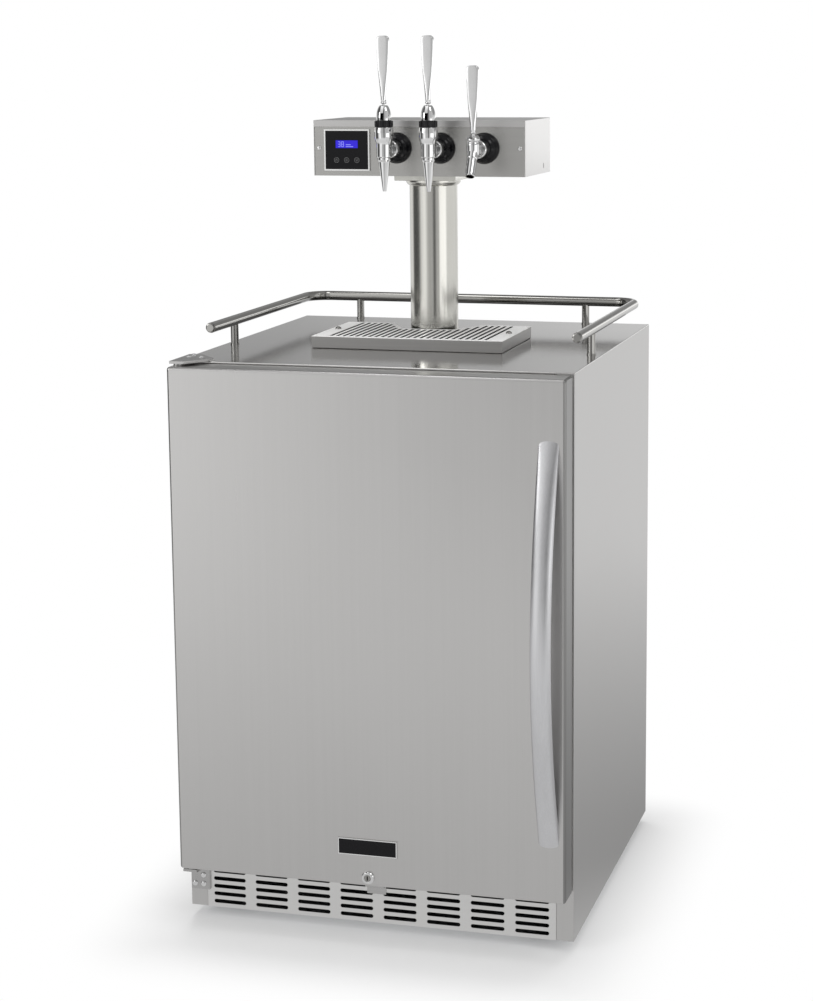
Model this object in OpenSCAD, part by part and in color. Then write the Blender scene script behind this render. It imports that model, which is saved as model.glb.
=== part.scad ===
// Cold brew coffee dispenser: a refrigerated keg cabinet with a three-tap tower.
// Millimetres. +Z is up, the door faces -Y, the origin is under the middle of the whole object.
// Inside the modules, y = 0 is the cabinet's front plane and z = 0 is the cabinet's underside.

/* [Cabinet] */
// Width of the cabinet
cab_w = 606; // [560:1:660]
// Height of the cabinet without its feet
cab_h = 852; // [800:1:900]
// Depth of the cabinet without the door
cab_d = 588; // [570:1:640]
// Thickness of the steel sheet
sheet_t = 1.2; // [0.8:0.1:2]
// Overall thickness of an insulated wall
wall_t = 45; // [38:1:55]
// Width of the front posts
post_w = 27; // [24:1:32]
// Depth of the top panel's front lip
top_lip = 14; // [10:1:18]
// Height of the floor inside
floor_z = 130; // [122:1:150]
// Thickness of the inner liner
liner_t = 2.5; // [1.5:0.5:4]
// Height of the hump over the compressor
hump_h = 200; // [180:1:230]
// Depth of the hump over the compressor
hump_d = 120; // [110:1:125]
// Thickness of the foam on the hump
hump_foam = 32; // [25:1:36]
// Height of the vent grille
grille_h = 78.8; // [74:0.2:82]

/* [Vent grille] */
// Number of slot columns
slot_cols = 8; // [4:1:8]
// Number of slot rows
slot_rows = 5; // [2:1:5]
// Distance between slot columns
slot_pitch_x = 68.4; // [60:0.2:69]
// Distance between slot rows
slot_pitch_z = 12.2; // [10:0.2:13]
// Length of a slot
slot_l = 52; // [30:1:54]
// Height of a slot
slot_h = 6; // [3:0.5:7]
// Height of the lowest row
slot_z0 = 9.5; // [8:0.5:12]

/* [Feet] */
// Height of the feet below the cabinet
foot_h = 18; // [12:1:30]
// Diameter of a foot
foot_dia = 38; // [30:1:50]
// Distance of a foot from the cabinet's edges
foot_inset = 62; // [55:1:90]
// Diameter of the foot's threaded stem
foot_stem = 10; // [8:1:12]

/* [Door] */
// Width of the door
door_w = 602; // [556:1:656]
// Height of the door's bottom edge
door_z0 = 76; // [70:1:80]
// Gap between the door's top edge and the cabinet's top
door_top_gap = 3; // [2.5:0.5:6]
// Thickness of the door
door_t = 42; // [36:1:55]
// Gap between the door and the cabinet
door_gap = 7; // [6:0.5:10]
// Width of the gasket
gasket_w = 16; // [12:1:20]
// Distance from the gasket's outer edge to the door's edge at the sides
gasket_side = 21; // [17:1:24]
// Distance from the gasket's outer edge to the door's bottom edge
gasket_low = 29; // [26:1:34]
// Distance from the gasket's outer edge to the door's top edge
gasket_top = 15; // [13:1:18]
// Clearance between the gasket and the cabinet
gasket_clear = 0.4; // [0.3:0.1:0.8]

/* [Door handle] */
// Height of the handle's lower end
handle_z0 = 161; // [130:1:250]
// Length of the handle
handle_l = 600; // [400:1:640]
// How far the handle bows out of the door
handle_bow = 62; // [50:1:80]
// Width of the handle
handle_w = 30; // [22:1:40]
// Thickness of the handle
handle_t = 12; // [9:1:16]
// Distance of the handle's middle from the door's edge
handle_in = 25; // [22:1:60]

/* [Hinges] */
// Distance of the hinge pin from the door's left edge
pin_in = 11; // [10:0.5:14]
// Diameter of the hinge pins
pin_dia = 8; // [6:0.5:10]
// Length of a hinge pin inside the door
pin_l = 15; // [10:1:18]
// Running clearance round a hinge pin
pin_clear = 0.05; // [0.02:0.01:0.1]
// Diameter of a hinge bush
bush_dia = 14; // [13:0.5:18]
// Thickness of the hinge plates
hinge_t = 4; // [3:0.5:5]
// Width of the bottom hinge plate
hinge_w = 30; // [28:1:36]
// Distance of the hinge plates from the cabinet's side
hinge_in = 2; // [1:0.5:3]
// Distance of the hinge screws from the plate's edge
hinge_edge = 6; // [5.5:0.5:8]
// Distance between the bottom hinge's screws
hinge_pitch = 14; // [12:0.5:15]
// Distance between the top hinge's screws
top_hinge_pitch = 20; // [16:0.5:24]
// Clearance between the door and the hinge washers
washer_clear = 0.3; // [0.2:0.1:0.6]

/* [Lock and badge] */
// Height of the lock
lock_z = 90; // [88:0.5:93]
// Diameter of the lock's rim
lock_rim_dia = 20; // [16:0.5:22]
// Diameter of the lock's barrel
lock_dia = 13; // [12:0.5:15]
// Diameter of the turning cylinder
lock_core_dia = 10; // [8:0.5:11]
// Running clearance of the cylinder
lock_clear = 0.05; // [0.02:0.01:0.1]
// Reach of the cam from the lock's axis
cam_l = 22; // [20:0.5:24]
// Width of the badge plate
badge_w = 92; // [60:1:120]
// Height of the badge plate
badge_h = 26; // [16:1:40]
// Height of the badge plate's middle
badge_z = 137; // [130:1:200]
// Width of the lock catch
catch_w = 30; // [26:1:45]

/* [Guard rail] */
// Diameter of the rail tube
rail_dia = 16; // [12:0.5:20]
// Height of the rail's middle over the top
rail_z = 38; // [30:1:60]
// Distance of the rail's arms from the cabinet's sides
rail_in = 17; // [15:0.5:30]
// Distance of the rail's back run from the cabinet's back
rail_back = 18; // [15:0.5:30]
// Distance of the rail's front ends from the cabinet's front
rail_front = 95; // [60:1:140]
// Bend radius of the rail
rail_bend = 36; // [25:1:60]
// Diameter of the rail posts
rail_post_dia = 12.5; // [9:0.5:14]
// Distance of the side posts from the cabinet's front
rail_post_y = 195; // [150:1:260]
// Distance of the back posts from the middle
rail_post_x = 198; // [150:1:230]

/* [Drip tray] */
// Width of the drip tray
tray_w = 305; // [280:1:340]
// Depth of the drip tray
tray_d = 190; // [180:1:200]
// Height of the drip tray
tray_h = 19; // [15:1:30]
// Distance of the tray from the cabinet's front
tray_y0 = 176; // [165:1:190]
// Wall of the drip tray
tray_wall = 1.5; // [1:0.1:2.5]
// Width of the ledge that carries the grate
tray_ledge = 4; // [3:0.5:6]
// Thickness of the grate
grate_t = 2; // [1.5:0.1:3]
// Clearance round the grate
grate_clear = 0.4; // [0.3:0.1:0.8]
// Distance between the grate's slots
grate_pitch = 10.3; // [9:0.1:14]
// Width of a slot in the grate
grate_slot = 3.2; // [2:0.1:5]
// Gap between the column and the tray's cut-out
notch_gap = 3; // [2:0.5:8]
// How much wider the cut-out is at the tray's back edge
notch_flare = 33; // [10:1:50]

/* [Tower] */
// Diameter of the column
col_dia = 76; // [63:0.5:89]
// Wall of the column
col_wall = 1.5; // [1:0.1:3]
// Height of the column
col_h = 253; // [200:1:350]
// Distance of the column's axis from the cabinet's front
col_y = 340; // [336:1:350]
// Side of the square plate on the column
col_plate = 100; // [92:1:130]
// Thickness of the plate on the column
col_plate_t = 9; // [6:0.5:12]
// Width of the opening for the drink lines
throat_dia = 60; // [40:1:62]
// Width of the box head
head_w = 340; // [330:1:400]
// Height of the box head
head_h = 86; // [82:1:100]
// Depth of the box head
head_d = 170; // [150:1:176]
// Depth of the cover's front lip
head_lip = 10; // [6:0.5:10]
// Distance of the front screws from the head's ends
head_screw_in = 8.5; // [7:0.5:9]

/* [Display] */
// Width of the display housing
disp_w = 74; // [60:1:76]
// Height of the display housing
disp_h = 64; // [56:1:66]
// Distance of the display's middle from the tower's middle
disp_x = -115.5; // [-119:0.5:-112]
// Distance of the display's middle from the head's underside
disp_z = 40; // [38:0.5:41]
// Depth of the display housing behind the front plate
disp_depth = 24; // [18:1:40]
// Width of the display window
lcd_w = 36; // [24:1:44]
// Height of the display window
lcd_h = 12; // [10:1:20]
// Height of the window's middle over the display's middle
lcd_up = 9; // [7:0.5:12]
// Diameter of a key
key_dia = 10; // [7:0.5:12]
// Distance between keys
key_pitch = 16.5; // [14:0.5:18]
// Distance of the keys below the display's middle
key_low = 15.5; // [15:0.5:18]
// Travel of a key
key_travel = 0.5; // [0.3:0.1:1]
// Clearance round a key
key_clear = 0.1; // [0.05:0.01:0.1]

/* [Taps] */
// Place of the left tap from the tower's middle
tap_x0 = -35; // [-38:0.5:-33]
// Distance between taps
tap_pitch = 70; // [66:0.5:72]
// Height of the shanks over the head's underside
tap_z = 43.5; // [41:0.5:46]
// Distance of the tap's axis from the head's front plate
tap_reach = 66; // [62:0.5:72]
// Diameter of a shank
shank_dia = 22; // [20:0.5:24]
// Bore of a shank
shank_bore = 8; // [5:0.5:9]
// Clearance round a shank
shank_clear = 0.2; // [0.1:0.05:0.4]
// Length of a shank behind the front plate
shank_tail = 42; // [35:1:60]
// Diameter of a shank flange
flange_dia = 48; // [42:1:54]
// Thickness of a shank flange
flange_t = 16; // [10:0.5:18]
// Diameter of a coupling collar
collar_dia = 28; // [27:0.5:34]
// Diameter of the stout tap's lower body
stout_dia = 23; // [21:0.5:26]
// Diameter of the stout tap's upper body
stout_bulge = 29; // [27:0.5:34]
// Diameter of the stout tap's bore
stout_bore = 14; // [12:0.5:15]
// Length of the stout nozzle
nozzle_l = 51; // [30:1:56]
// Diameter of the nozzle's tip
nozzle_tip = 6; // [5:0.5:10]
// Diameter of the lever's ball
ball_dia = 11; // [10:0.5:12]
// Running clearance of balls and plungers
ball_clear = 0.05; // [0.02:0.01:0.1]
// Diameter of the lever's neck
neck_dia = 6.6; // [5:0.2:7]
// Length of the paddle handle
paddle_l = 96; // [70:1:130]
// Width of the paddle handle at its top
paddle_w = 19; // [12:0.5:22]
// Thickness of the paddle handle
paddle_t = 6; // [5:0.2:8]
// Lift of a stout plunger
stout_lift = 4; // [2:0.5:4]
// Stroke of the standard tap's plunger
std_stroke = 3; // [2:0.5:3]

/* [Hidden] */
$fn = 64;
eps = 0.01;
in_w = cab_w - 2 * sheet_t;
post_x = cab_w / 2 - post_w;
liner_x = cab_w / 2 - wall_t;
liner_back = cab_d - wall_t;
liner_top = cab_h - wall_t;
hump_y = liner_back - liner_t - hump_d;
hump_z = floor_z + hump_h;
comp_y = hump_y + liner_t + hump_foam;
comp_z = hump_z - liner_t - hump_foam;
back_in = cab_d - sheet_t;
top_in = cab_h - sheet_t;
lip_z = cab_h - top_lip;

door_z1 = cab_h - door_top_gap;
door_y1 = -door_gap;
door_y0 = door_y1 - door_t;
gasket_x = door_w / 2 - gasket_side;
gasket_z0 = door_z0 + gasket_low;
gasket_z1 = door_z1 - gasket_top;
handle_x = door_w / 2 - handle_in;
handle_r = (handle_l * handle_l / 4 + handle_bow * handle_bow) / (2 * handle_bow);
pin_x = -door_w / 2 + pin_in;
pin_y = (door_y0 + door_y1) / 2;

row_y = -(cab_d + door_y0 - handle_bow) / 2;

screw_dia = 4.8;
screw_head = 9;
screw_head_h = 2.6;
screw_l = 12;
screw_hole = screw_dia + 0.3;
hinge_x0 = -cab_w / 2 + hinge_in;
hinge_z0 = 28;
low_screw_x = hinge_x0 + hinge_edge;
low_screw_z = hinge_z0 + 9;
low_screws = [[low_screw_x, low_screw_z], [low_screw_x + hinge_pitch, low_screw_z],
    [low_screw_x + hinge_pitch, low_screw_z + hinge_pitch]];
top_screw_x = hinge_x0 + 2 * hinge_edge;
top_screw_y = 2 * hinge_edge;
top_screws = [[top_screw_x, top_screw_y], [top_screw_x + top_hinge_pitch, top_screw_y],
    [top_screw_x, top_screw_y + top_hinge_pitch]];

tray_y1 = tray_y0 + tray_d;
notch_x = col_dia / 2 + notch_gap;
notch_y = col_y - col_dia / 2 - notch_gap;
notch_tan = notch_flare / (tray_y1 - notch_y);

head_z = cab_h + col_h + col_plate_t;
head_top = head_z + head_h;
head_y0 = col_y - head_d / 2;
head_y1 = col_y + head_d / 2;
plate_y = head_y0 + sheet_t;
head_screw_z = head_z + head_h / 2;
head_screw_x = head_w / 2 - head_screw_in;
head_screw_dia = 4;
head_screw_head = 7;
lcd_z = head_z + disp_z + lcd_up;
key_z = head_z + disp_z - key_low;
disp_proud = 3;
tap_y = plate_y - tap_reach;
tap_zc = head_z + tap_z;
flange_y = plate_y - flange_t;
collar_l = 26;
collar_y = flange_y - collar_l;
stub_y = collar_y + 8;
stub_dia = 18;

// Heights of the stout tap's joints from the shank's axis
stout_low = -12;
stout_mid = 13.5;
stout_high = 34;
ring_high = 44;
dome_high = 67;
stout_pivot = 53;
// Heights of the standard tap's joints from the shank's axis
std_low = -11;
std_high = 14;
std_bonnet_high = 22;
std_pivot = 10;

// Shapes that repeat

module place() {
    translate([0, row_y, foot_h]) children();
}

module box(low, high) {
    translate(low) cube(high - low);
}

module x_slab(points, x0, x1) {
    translate([x0, 0, 0]) rotate([90, 0, 90]) linear_extrude(x1 - x0) polygon(points);
}

module rod_x(pos, dia, len) {
    translate(pos) rotate([0, 90, 0]) cylinder(d = dia, h = len);
}

module rod_y(pos, dia, len) {
    translate(pos) rotate([-90, 0, 0]) cylinder(d = dia, h = len);
}

module rod_z(pos, dia, len) {
    translate(pos) cylinder(d = dia, h = len);
}

// A lathe-turned piece along Y, with its profile given as [radius, distance]
module turned_y(pos, profile) {
    translate(pos) rotate([-90, 0, 0]) rotate_extrude() polygon(profile);
}

module slot_2d(len, wide) {
    square([len - wide, wide], center = true);
    for (s = [-1, 1])
        translate([s * (len - wide) / 2, 0]) circle(d = wide, $fn = 24);
}

// Cabinet

module side_panel(s) {
    color("lightgray") place() {
        x0 = s > 0 ? cab_w / 2 - sheet_t : -cab_w / 2;
        box([x0, 0, 0], [x0 + sheet_t, cab_d, top_in]);
        p0 = s > 0 ? post_x : -cab_w / 2 + sheet_t;
        difference() {
            box([p0, 0, 0], [p0 + post_w - sheet_t, sheet_t, top_in]);
            if (s < 0)
                for (p = low_screws)
                    rod_y([p[0], -1, p[1]], screw_hole, 4);
        }
    }
}

module side_panel_left() {
    side_panel(-1);
}

module side_panel_right() {
    side_panel(1);
}

module top_panel() {
    color("lightgray") place() difference() {
        union() {
            box([-cab_w / 2, 0, top_in], [cab_w / 2, cab_d, cab_h]);
            box([-post_x, 0, lip_z], [post_x, sheet_t, top_in]);
        }
        rod_z([0, col_y, top_in - 1], throat_dia, 4);
        for (p = top_screws)
            rod_z([p[0], p[1], top_in - 1], screw_hole, 4);
        for (p = rail_posts_at)
            rod_z([p[0], p[1], top_in - 1], rail_stud + 2 * shank_clear, 4);
    }
}

back_slots = 9;
back_slot_pitch = 22;
back_slot_l = 180;
back_slot_h = 6;
back_slot_x = 140;
back_slot_z0 = 60;

module back_panel() {
    color("silver") place() difference() {
        box([-in_w / 2, back_in, base_t], [in_w / 2, cab_d, top_in]);
        translate([0, cab_d + 1, back_slot_z0]) rotate([90, 0, 0]) linear_extrude(4)
            for (i = [0 : back_slots - 1], x = [-back_slot_x, back_slot_x])
                translate([x, i * back_slot_pitch]) slot_2d(back_slot_l, back_slot_h);
        rod_y([inlet_x, back_in - 1, inlet_z], inlet_dia, 4);
    }
}

base_t = 1.5;

module base_pan() {
    color("silver") place() difference() {
        box([-in_w / 2, sheet_t, 0], [in_w / 2, back_in, base_t]);
        for (p = feet_at)
            rod_z([p[0], p[1], -1], foot_stem + 2 * shank_clear, 4);
    }
}

module compartment_panel() {
    color("silver") place() x_slab([[sheet_t, grille_h], [comp_y + sheet_t, grille_h],
        [comp_y + sheet_t, comp_z - sheet_t], [back_in, comp_z - sheet_t], [back_in, comp_z],
        [comp_y, comp_z], [comp_y, grille_h + sheet_t], [sheet_t, grille_h + sheet_t]],
        -in_w / 2, in_w / 2);
}

module liner_outside() {
    low = floor_z - liner_t;
    x_slab([[0, low], [hump_y + liner_t, low], [hump_y + liner_t, hump_z - liner_t],
        [liner_back, hump_z - liner_t], [liner_back, liner_top], [0, liner_top]],
        -liner_x, liner_x);
}

module cabinet_insulation() {
    color("khaki") place() difference() {
        x_slab([[liner_t, grille_h + sheet_t], [comp_y, grille_h + sheet_t], [comp_y, comp_z],
            [back_in, comp_z], [back_in, top_in], [liner_t, top_in]], -in_w / 2, in_w / 2);
        liner_outside();
        rod_z([0, col_y, liner_top - 1], throat_dia, wall_t);
        for (p = top_screws)
            rod_z([p[0], p[1], top_in - screw_l], screw_hole, screw_l + 1);
        for (p = rail_posts_at)
            rod_z([p[0], p[1], top_in - rail_stud_l], rail_stud + 2 * shank_clear, rail_stud_l + 1);
    }
}

module inner_liner() {
    color("white") place() difference() {
        union() {
            liner_outside();
            box([-post_x, 0, grille_h + sheet_t], [post_x, liner_t, lip_z]);
        }
        x_slab([[-1, floor_z], [hump_y, floor_z], [hump_y, hump_z],
            [liner_back - liner_t, hump_z], [liner_back - liner_t, liner_top - liner_t],
            [-1, liner_top - liner_t]], -liner_x + liner_t, liner_x - liner_t);
        rod_z([0, col_y, liner_top - liner_t - 1], throat_dia, wall_t);
    }
}

module vent_grille() {
    cols = min(slot_cols, floor(2 * post_x / slot_pitch_x));
    color("lightgray") place() difference() {
        box([-post_x, 0, 0], [post_x, sheet_t, grille_h]);
        translate([0, sheet_t + 1, slot_z0]) rotate([90, 0, 0]) linear_extrude(4)
            for (i = [0 : cols - 1], j = [0 : slot_rows - 1])
                translate([(i - (cols - 1) / 2) * slot_pitch_x, j * slot_pitch_z])
                    slot_2d(slot_l, slot_h);
    }
}

feet_at = [for (x = [-1, 1], y = [foot_inset, cab_d - foot_inset])
    [x * (cab_w / 2 - foot_inset), y]];
foot_pad_h = 9;
foot_nut_h = 5;

module leveling_feet() {
    color("dimgray") place() for (p = feet_at) {
        rod_z([p[0], p[1], -foot_h], foot_dia, foot_pad_h);
        rod_z([p[0], p[1], -foot_h], foot_stem, foot_h + 14);
        translate([p[0], p[1], -foot_nut_h]) cylinder(d = 2 * foot_stem, h = foot_nut_h, $fn = 6);
    }
}

// Hinges, lock catch and screws

hinge_low_z = door_z0 - 9;
washer_dia = 14;

module bottom_hinge_bracket() {
    arm_y = pin_y - pin_dia;
    color("silver") place() difference() {
        union() {
            box([hinge_x0, -hinge_t, hinge_z0], [hinge_x0 + hinge_w, 0, hinge_low_z]);
            translate([0, 0, hinge_low_z]) linear_extrude(hinge_t)
                polygon([[hinge_x0, 0], [hinge_x0 + hinge_w, 0], [pin_x + pin_in, arm_y],
                    [pin_x - pin_in, arm_y]]);
            rod_z([pin_x, pin_y, hinge_low_z + hinge_t], washer_dia,
                door_z0 - hinge_low_z - hinge_t - washer_clear);
            rod_z([pin_x, pin_y, hinge_low_z], pin_dia, door_z0 + pin_l - hinge_low_z);
        }
        for (p = low_screws)
            rod_y([p[0], -hinge_t - 1, p[1]], screw_hole, hinge_t + 2);
    }
}

module top_hinge_bracket() {
    tip = top_screw_y + top_hinge_pitch + 2 * hinge_edge;
    wide = 2 * hinge_edge + top_hinge_pitch;
    arm_y = pin_y - pin_dia;
    color("silver") place() difference() {
        union() {
            translate([0, 0, cab_h]) linear_extrude(hinge_t)
                polygon([[hinge_x0, tip], [hinge_x0 + 3.5 * hinge_edge, tip],
                    [hinge_x0 + wide + 4 * hinge_edge, hinge_edge], [pin_x + pin_in, arm_y],
                    [pin_x - pin_in, arm_y], [hinge_x0, hinge_edge]]);
            rod_z([pin_x, pin_y, door_z1 + washer_clear], washer_dia, door_top_gap - washer_clear);
            rod_z([pin_x, pin_y, door_z1 - pin_l], pin_dia, pin_l + door_top_gap);
        }
        for (p = top_screws)
            rod_z([p[0], p[1], cab_h - 1], screw_hole, hinge_t + 2);
    }
}

catch_x = -2;
catch_t = 1.5;
catch_out = 12;
catch_low = 46;
catch_arm_z = door_z0 - 14.5;

module lock_catch() {
    x0 = catch_x - catch_w / 2;
    color("silver") place() x_slab([[0, catch_low], [0, catch_arm_z],
        [catch_t - catch_out, catch_arm_z], [catch_t - catch_out, door_z0 - 3],
        [-catch_out, door_z0 - 3], [-catch_out, catch_arm_z - catch_t],
        [-catch_t, catch_arm_z - catch_t], [-catch_t, catch_low]], x0, x0 + catch_w);
}

module screw(dia, head, head_h, len) {
    cylinder(d = dia, h = len);
    translate([0, 0, -head_h]) difference() {
        union() {
            cylinder(d1 = 0.7 * head, d2 = head, h = head_h / 2);
            translate([0, 0, head_h / 2]) cylinder(d = head, h = head_h / 2);
        }
        translate([0, 0, -eps]) cylinder(d = 0.4 * head, h = head_h / 2, $fn = 6);
    }
}

module screws() {
    color("silver") place() {
        for (p = low_screws)
            translate([p[0], -hinge_t, p[1]]) rotate([-90, 0, 0])
                screw(screw_dia, screw_head, screw_head_h, screw_l);
        for (p = top_screws)
            translate([p[0], p[1], cab_h + hinge_t]) rotate([180, 0, 0])
                screw(screw_dia, screw_head, screw_head_h, screw_l);
        for (s = [-1, 1])
            translate([s * head_screw_x, plate_y, head_screw_z]) rotate([-90, 0, 0])
                screw(head_screw_dia, head_screw_head, 2, 8);
    }
}

inlet_dia = 22;
inlet_in = 103;
inlet_x = inlet_in - cab_w / 2;
inlet_z = 36;

module mains_inlet() {
    color("black") place() difference() {
        union() {
            rod_y([inlet_x, back_in, inlet_z], inlet_dia - 2 * shank_clear, sheet_t);
            rod_y([inlet_x, cab_d - 9, inlet_z], inlet_dia + 6, 9 - sheet_t);
        }
        rod_y([inlet_x, cab_d - 10, inlet_z], 8, 12);
    }
}

// Cooling system

comp_mid = (comp_y + sheet_t + back_in) / 2;
compressor_x = 150;
compressor_plate_x = 75;
compressor_plate_y = 52;
terminal_l = 26;
terminal_w = 20;
terminal_z0 = 40;
terminal_z1 = 90;
compressor_dia = 112;
compressor_h = 150;

module compressor() {
    r = compressor_dia / 2;
    color("black") place() {
        box([compressor_x - compressor_plate_x, comp_mid - compressor_plate_y, base_t],
            [compressor_x + compressor_plate_x, comp_mid + compressor_plate_y, base_t + 3]);
        translate([compressor_x, comp_mid, base_t + 3]) rotate_extrude()
            polygon([[0, 0], [r - 8, 0], [r - 8, 8], [r, 14], [r, compressor_h - 34],
                [r - 5, compressor_h - 18], [r - 18, compressor_h - 6], [r - 34, compressor_h],
                [0, compressor_h]]);
        box([compressor_x + r - 8, comp_mid - terminal_w, terminal_z0],
            [compressor_x + r - 8 + terminal_l, comp_mid + terminal_w, terminal_z1]);
    }
}

fin_t = 0.8;
coil_tube = 8;

// A finned coil: plates across straight tubes, between two corners
module finned_coil(low, high, fins, tubes_y, tubes_z) {
    gap = (high[0] - low[0] - fin_t) / (fins - 1);
    for (i = [0 : fins - 1])
        box([low[0] + i * gap, low[1], low[2]], [low[0] + i * gap + fin_t, high[1], high[2]]);
    for (j = [0 : tubes_y - 1], k = [0 : tubes_z - 1])
        rod_x([low[0] - 6, low[1] + (j + 0.5) * (high[1] - low[1]) / tubes_y,
            low[2] + (k + 0.5) * (high[2] - low[2]) / tubes_z], coil_tube, high[0] - low[0] + 12);
}

cond_x0 = -215;
cond_w = 140;
cond_d = 100;
cond_h = 118;

module condenser_coil() {
    color("dimgray") place() finned_coil([cond_x0, comp_mid - cond_d / 2, base_t],
        [cond_x0 + cond_w, comp_mid + cond_d / 2, base_t + cond_h], 15, 3, 4);
}

fan_frame = 116;
fan_duct = 108;
fan_dia = 102;
fan_x = -60;
fan_t = 25;
fan_z = base_t + fan_frame / 2;
motor_dia = 36;
motor_l = 11;
fan_shaft = 4;
fan_clear = 0.05;

module condenser_fan_frame() {
    color("black") place() {
        difference() {
            box([fan_x, comp_mid - fan_frame / 2, base_t],
                [fan_x + fan_t, comp_mid + fan_frame / 2, base_t + fan_frame]);
            rod_x([fan_x - 1, comp_mid, fan_z], fan_duct, fan_t + 2);
        }
        for (a = [0, 120, 240])
            translate([fan_x, comp_mid, fan_z]) rotate([a, 0, 0])
                box([0, motor_dia / 2 - 2, -4], [4, fan_duct / 2 + 1, 4]);
        rod_x([fan_x, comp_mid, fan_z], motor_dia, motor_l);
        rod_x([fan_x, comp_mid, fan_z], fan_shaft, fan_t - 1);
    }
}

// A fan wheel about +Z, from z = 0 up, on a shaft
module fan_wheel(dia, hub, tall, blades) {
    difference() {
        union() {
            cylinder(d = hub, h = tall);
            intersection() {
                for (i = [0 : blades - 1])
                    rotate([0, 0, i * 360 / blades]) translate([hub / 2 - 1, 0, tall / 2])
                        rotate([32, 0, 0]) translate([0, -0.17 * dia, -0.8])
                            cube([dia / 2, 0.34 * dia, 1.6]);
                cylinder(d = dia, h = tall);
            }
        }
        translate([0, 0, -1]) cylinder(d = fan_shaft + 2 * fan_clear, h = tall + 2);
    }
}

module condenser_fan() {
    color("gray") place() translate([fan_x + motor_l + 0.5, comp_mid, fan_z])
        rotate([0, 90, 0]) fan_wheel(fan_dia, motor_dia, fan_t - motor_l - 1, 5);
}

evap_back = liner_back - liner_t;
evap_d = 48;
evap_w = 300;
evap_z0 = floor_z + 340;
evap_h = 300;
evap_t = 2;
evap_fan_z = evap_z0 + evap_h - 80;
evap_hole = 98;
evap_fan_dia = 90;
evap_hub = 30;

evap_coil_w = 230;
evap_coil_d = 32;
evap_coil_h = 110;
evap_coil_z = evap_z0 + 20;

module evaporator_coil() {
    color("silver") place() finned_coil([-evap_coil_w / 2, evap_back - evap_coil_d, evap_coil_z],
        [evap_coil_w / 2, evap_back, evap_coil_z + evap_coil_h], 22, 2, 4);
}

module evaporator_cover() {
    front = evap_back - evap_d;
    color("white") place() {
        difference() {
            box([-evap_w / 2, front, evap_z0], [evap_w / 2, evap_back, evap_z0 + evap_h]);
            box([evap_t - evap_w / 2, front + evap_t, evap_z0 + evap_t],
                [evap_w / 2 - evap_t, evap_back + 1, evap_z0 + evap_h - evap_t]);
            rod_y([0, front - 1, evap_fan_z], evap_hole, evap_t + 2);
            translate([0, front + evap_t + 1, evap_z0 + 30]) rotate([90, 0, 0])
                linear_extrude(evap_t + 2) for (i = [0 : 5], x = [-66, 66])
                    translate([x, i * 16]) slot_2d(100, 6);
        }
        for (a = [0, 120, 240])
            translate([0, front, evap_fan_z]) rotate([0, a, 0])
                box([-4, 0, evap_hub / 2 - 2], [4, 3, evap_hole / 2 + 3]);
        rod_y([0, front, evap_fan_z], evap_hub, motor_l);
        rod_y([0, front, evap_fan_z], fan_shaft, motor_l + 14);
    }
}

module evaporator_fan() {
    color("gray") place() translate([0, evap_back - evap_d + motor_l + 0.5, evap_fan_z])
        rotate([-90, 0, 0]) fan_wheel(evap_fan_dia, evap_hub, 13, 5);
}

// Guard rail

rail_x = cab_w / 2 - rail_in;
rail_run_y = cab_d - rail_back;
rail_zc = cab_h + rail_z;
rail_wall = 1.5;
rail_stud = 6;
rail_stud_l = 14;
rail_base_dia = 14;
rail_base_t = 2;
cap_l = 3;
cap_plug = 8;
rail_posts_at = [[-rail_x, rail_post_y], [rail_x, rail_post_y], [-rail_post_x, rail_run_y],
    [rail_post_x, rail_run_y]];

module rail_path(dia) {
    for (s = [-1, 1]) {
        rod_y([s * rail_x, rail_front, rail_zc], dia, rail_run_y - rail_bend - rail_front);
        translate([s * (rail_x - rail_bend), rail_run_y - rail_bend, rail_zc])
            rotate([0, 0, s > 0 ? 0 : 90]) rotate_extrude(angle = 90)
                translate([rail_bend, 0]) circle(d = dia);
    }
    rod_x([rail_bend - rail_x, rail_run_y, rail_zc], dia, 2 * (rail_x - rail_bend));
}

module guard_rail() {
    color("silver") place() difference() {
        rail_path(rail_dia);
        for (s = [-1, 1])
            rod_y([s * rail_x, rail_front - 1, rail_zc], rail_dia - 2 * rail_wall, cap_plug + 1.2);
    }
}

module rail_fittings() {
    color("silver") place() {
        for (p = rail_posts_at)
            difference() {
                union() {
                    rod_z([p[0], p[1], cab_h], rail_post_dia, rail_z);
                    rod_z([p[0], p[1], cab_h], rail_base_dia, rail_base_t);
                    rod_z([p[0], p[1], cab_h - rail_stud_l + sheet_t], rail_stud, rail_stud_l);
                }
                if (abs(p[0]) > rail_post_x)
                    rod_y([p[0], p[1] - rail_base_dia, rail_zc], rail_dia, 2 * rail_base_dia);
                else
                    rod_x([p[0] - rail_base_dia, p[1], rail_zc], rail_dia, 2 * rail_base_dia);
            }
        for (s = [-1, 1])
            turned_y([s * rail_x, rail_front - cap_l, rail_zc], [[0, 0], [rail_dia / 2 - 3, 0],
                [rail_dia / 2 - 0.8, 1], [rail_dia / 2, cap_l], [rail_dia / 2 - rail_wall - 0.05, cap_l],
                [rail_dia / 2 - rail_wall - 0.05, cap_l + cap_plug], [0, cap_l + cap_plug]]);
    }
}

// Drip tray

tray_top = cab_h + tray_h;
grate_seat = 0.1;
grate_margin = 9;
grate_end = 25;
knob_in = 13;
knob_dia = 10;

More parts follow.
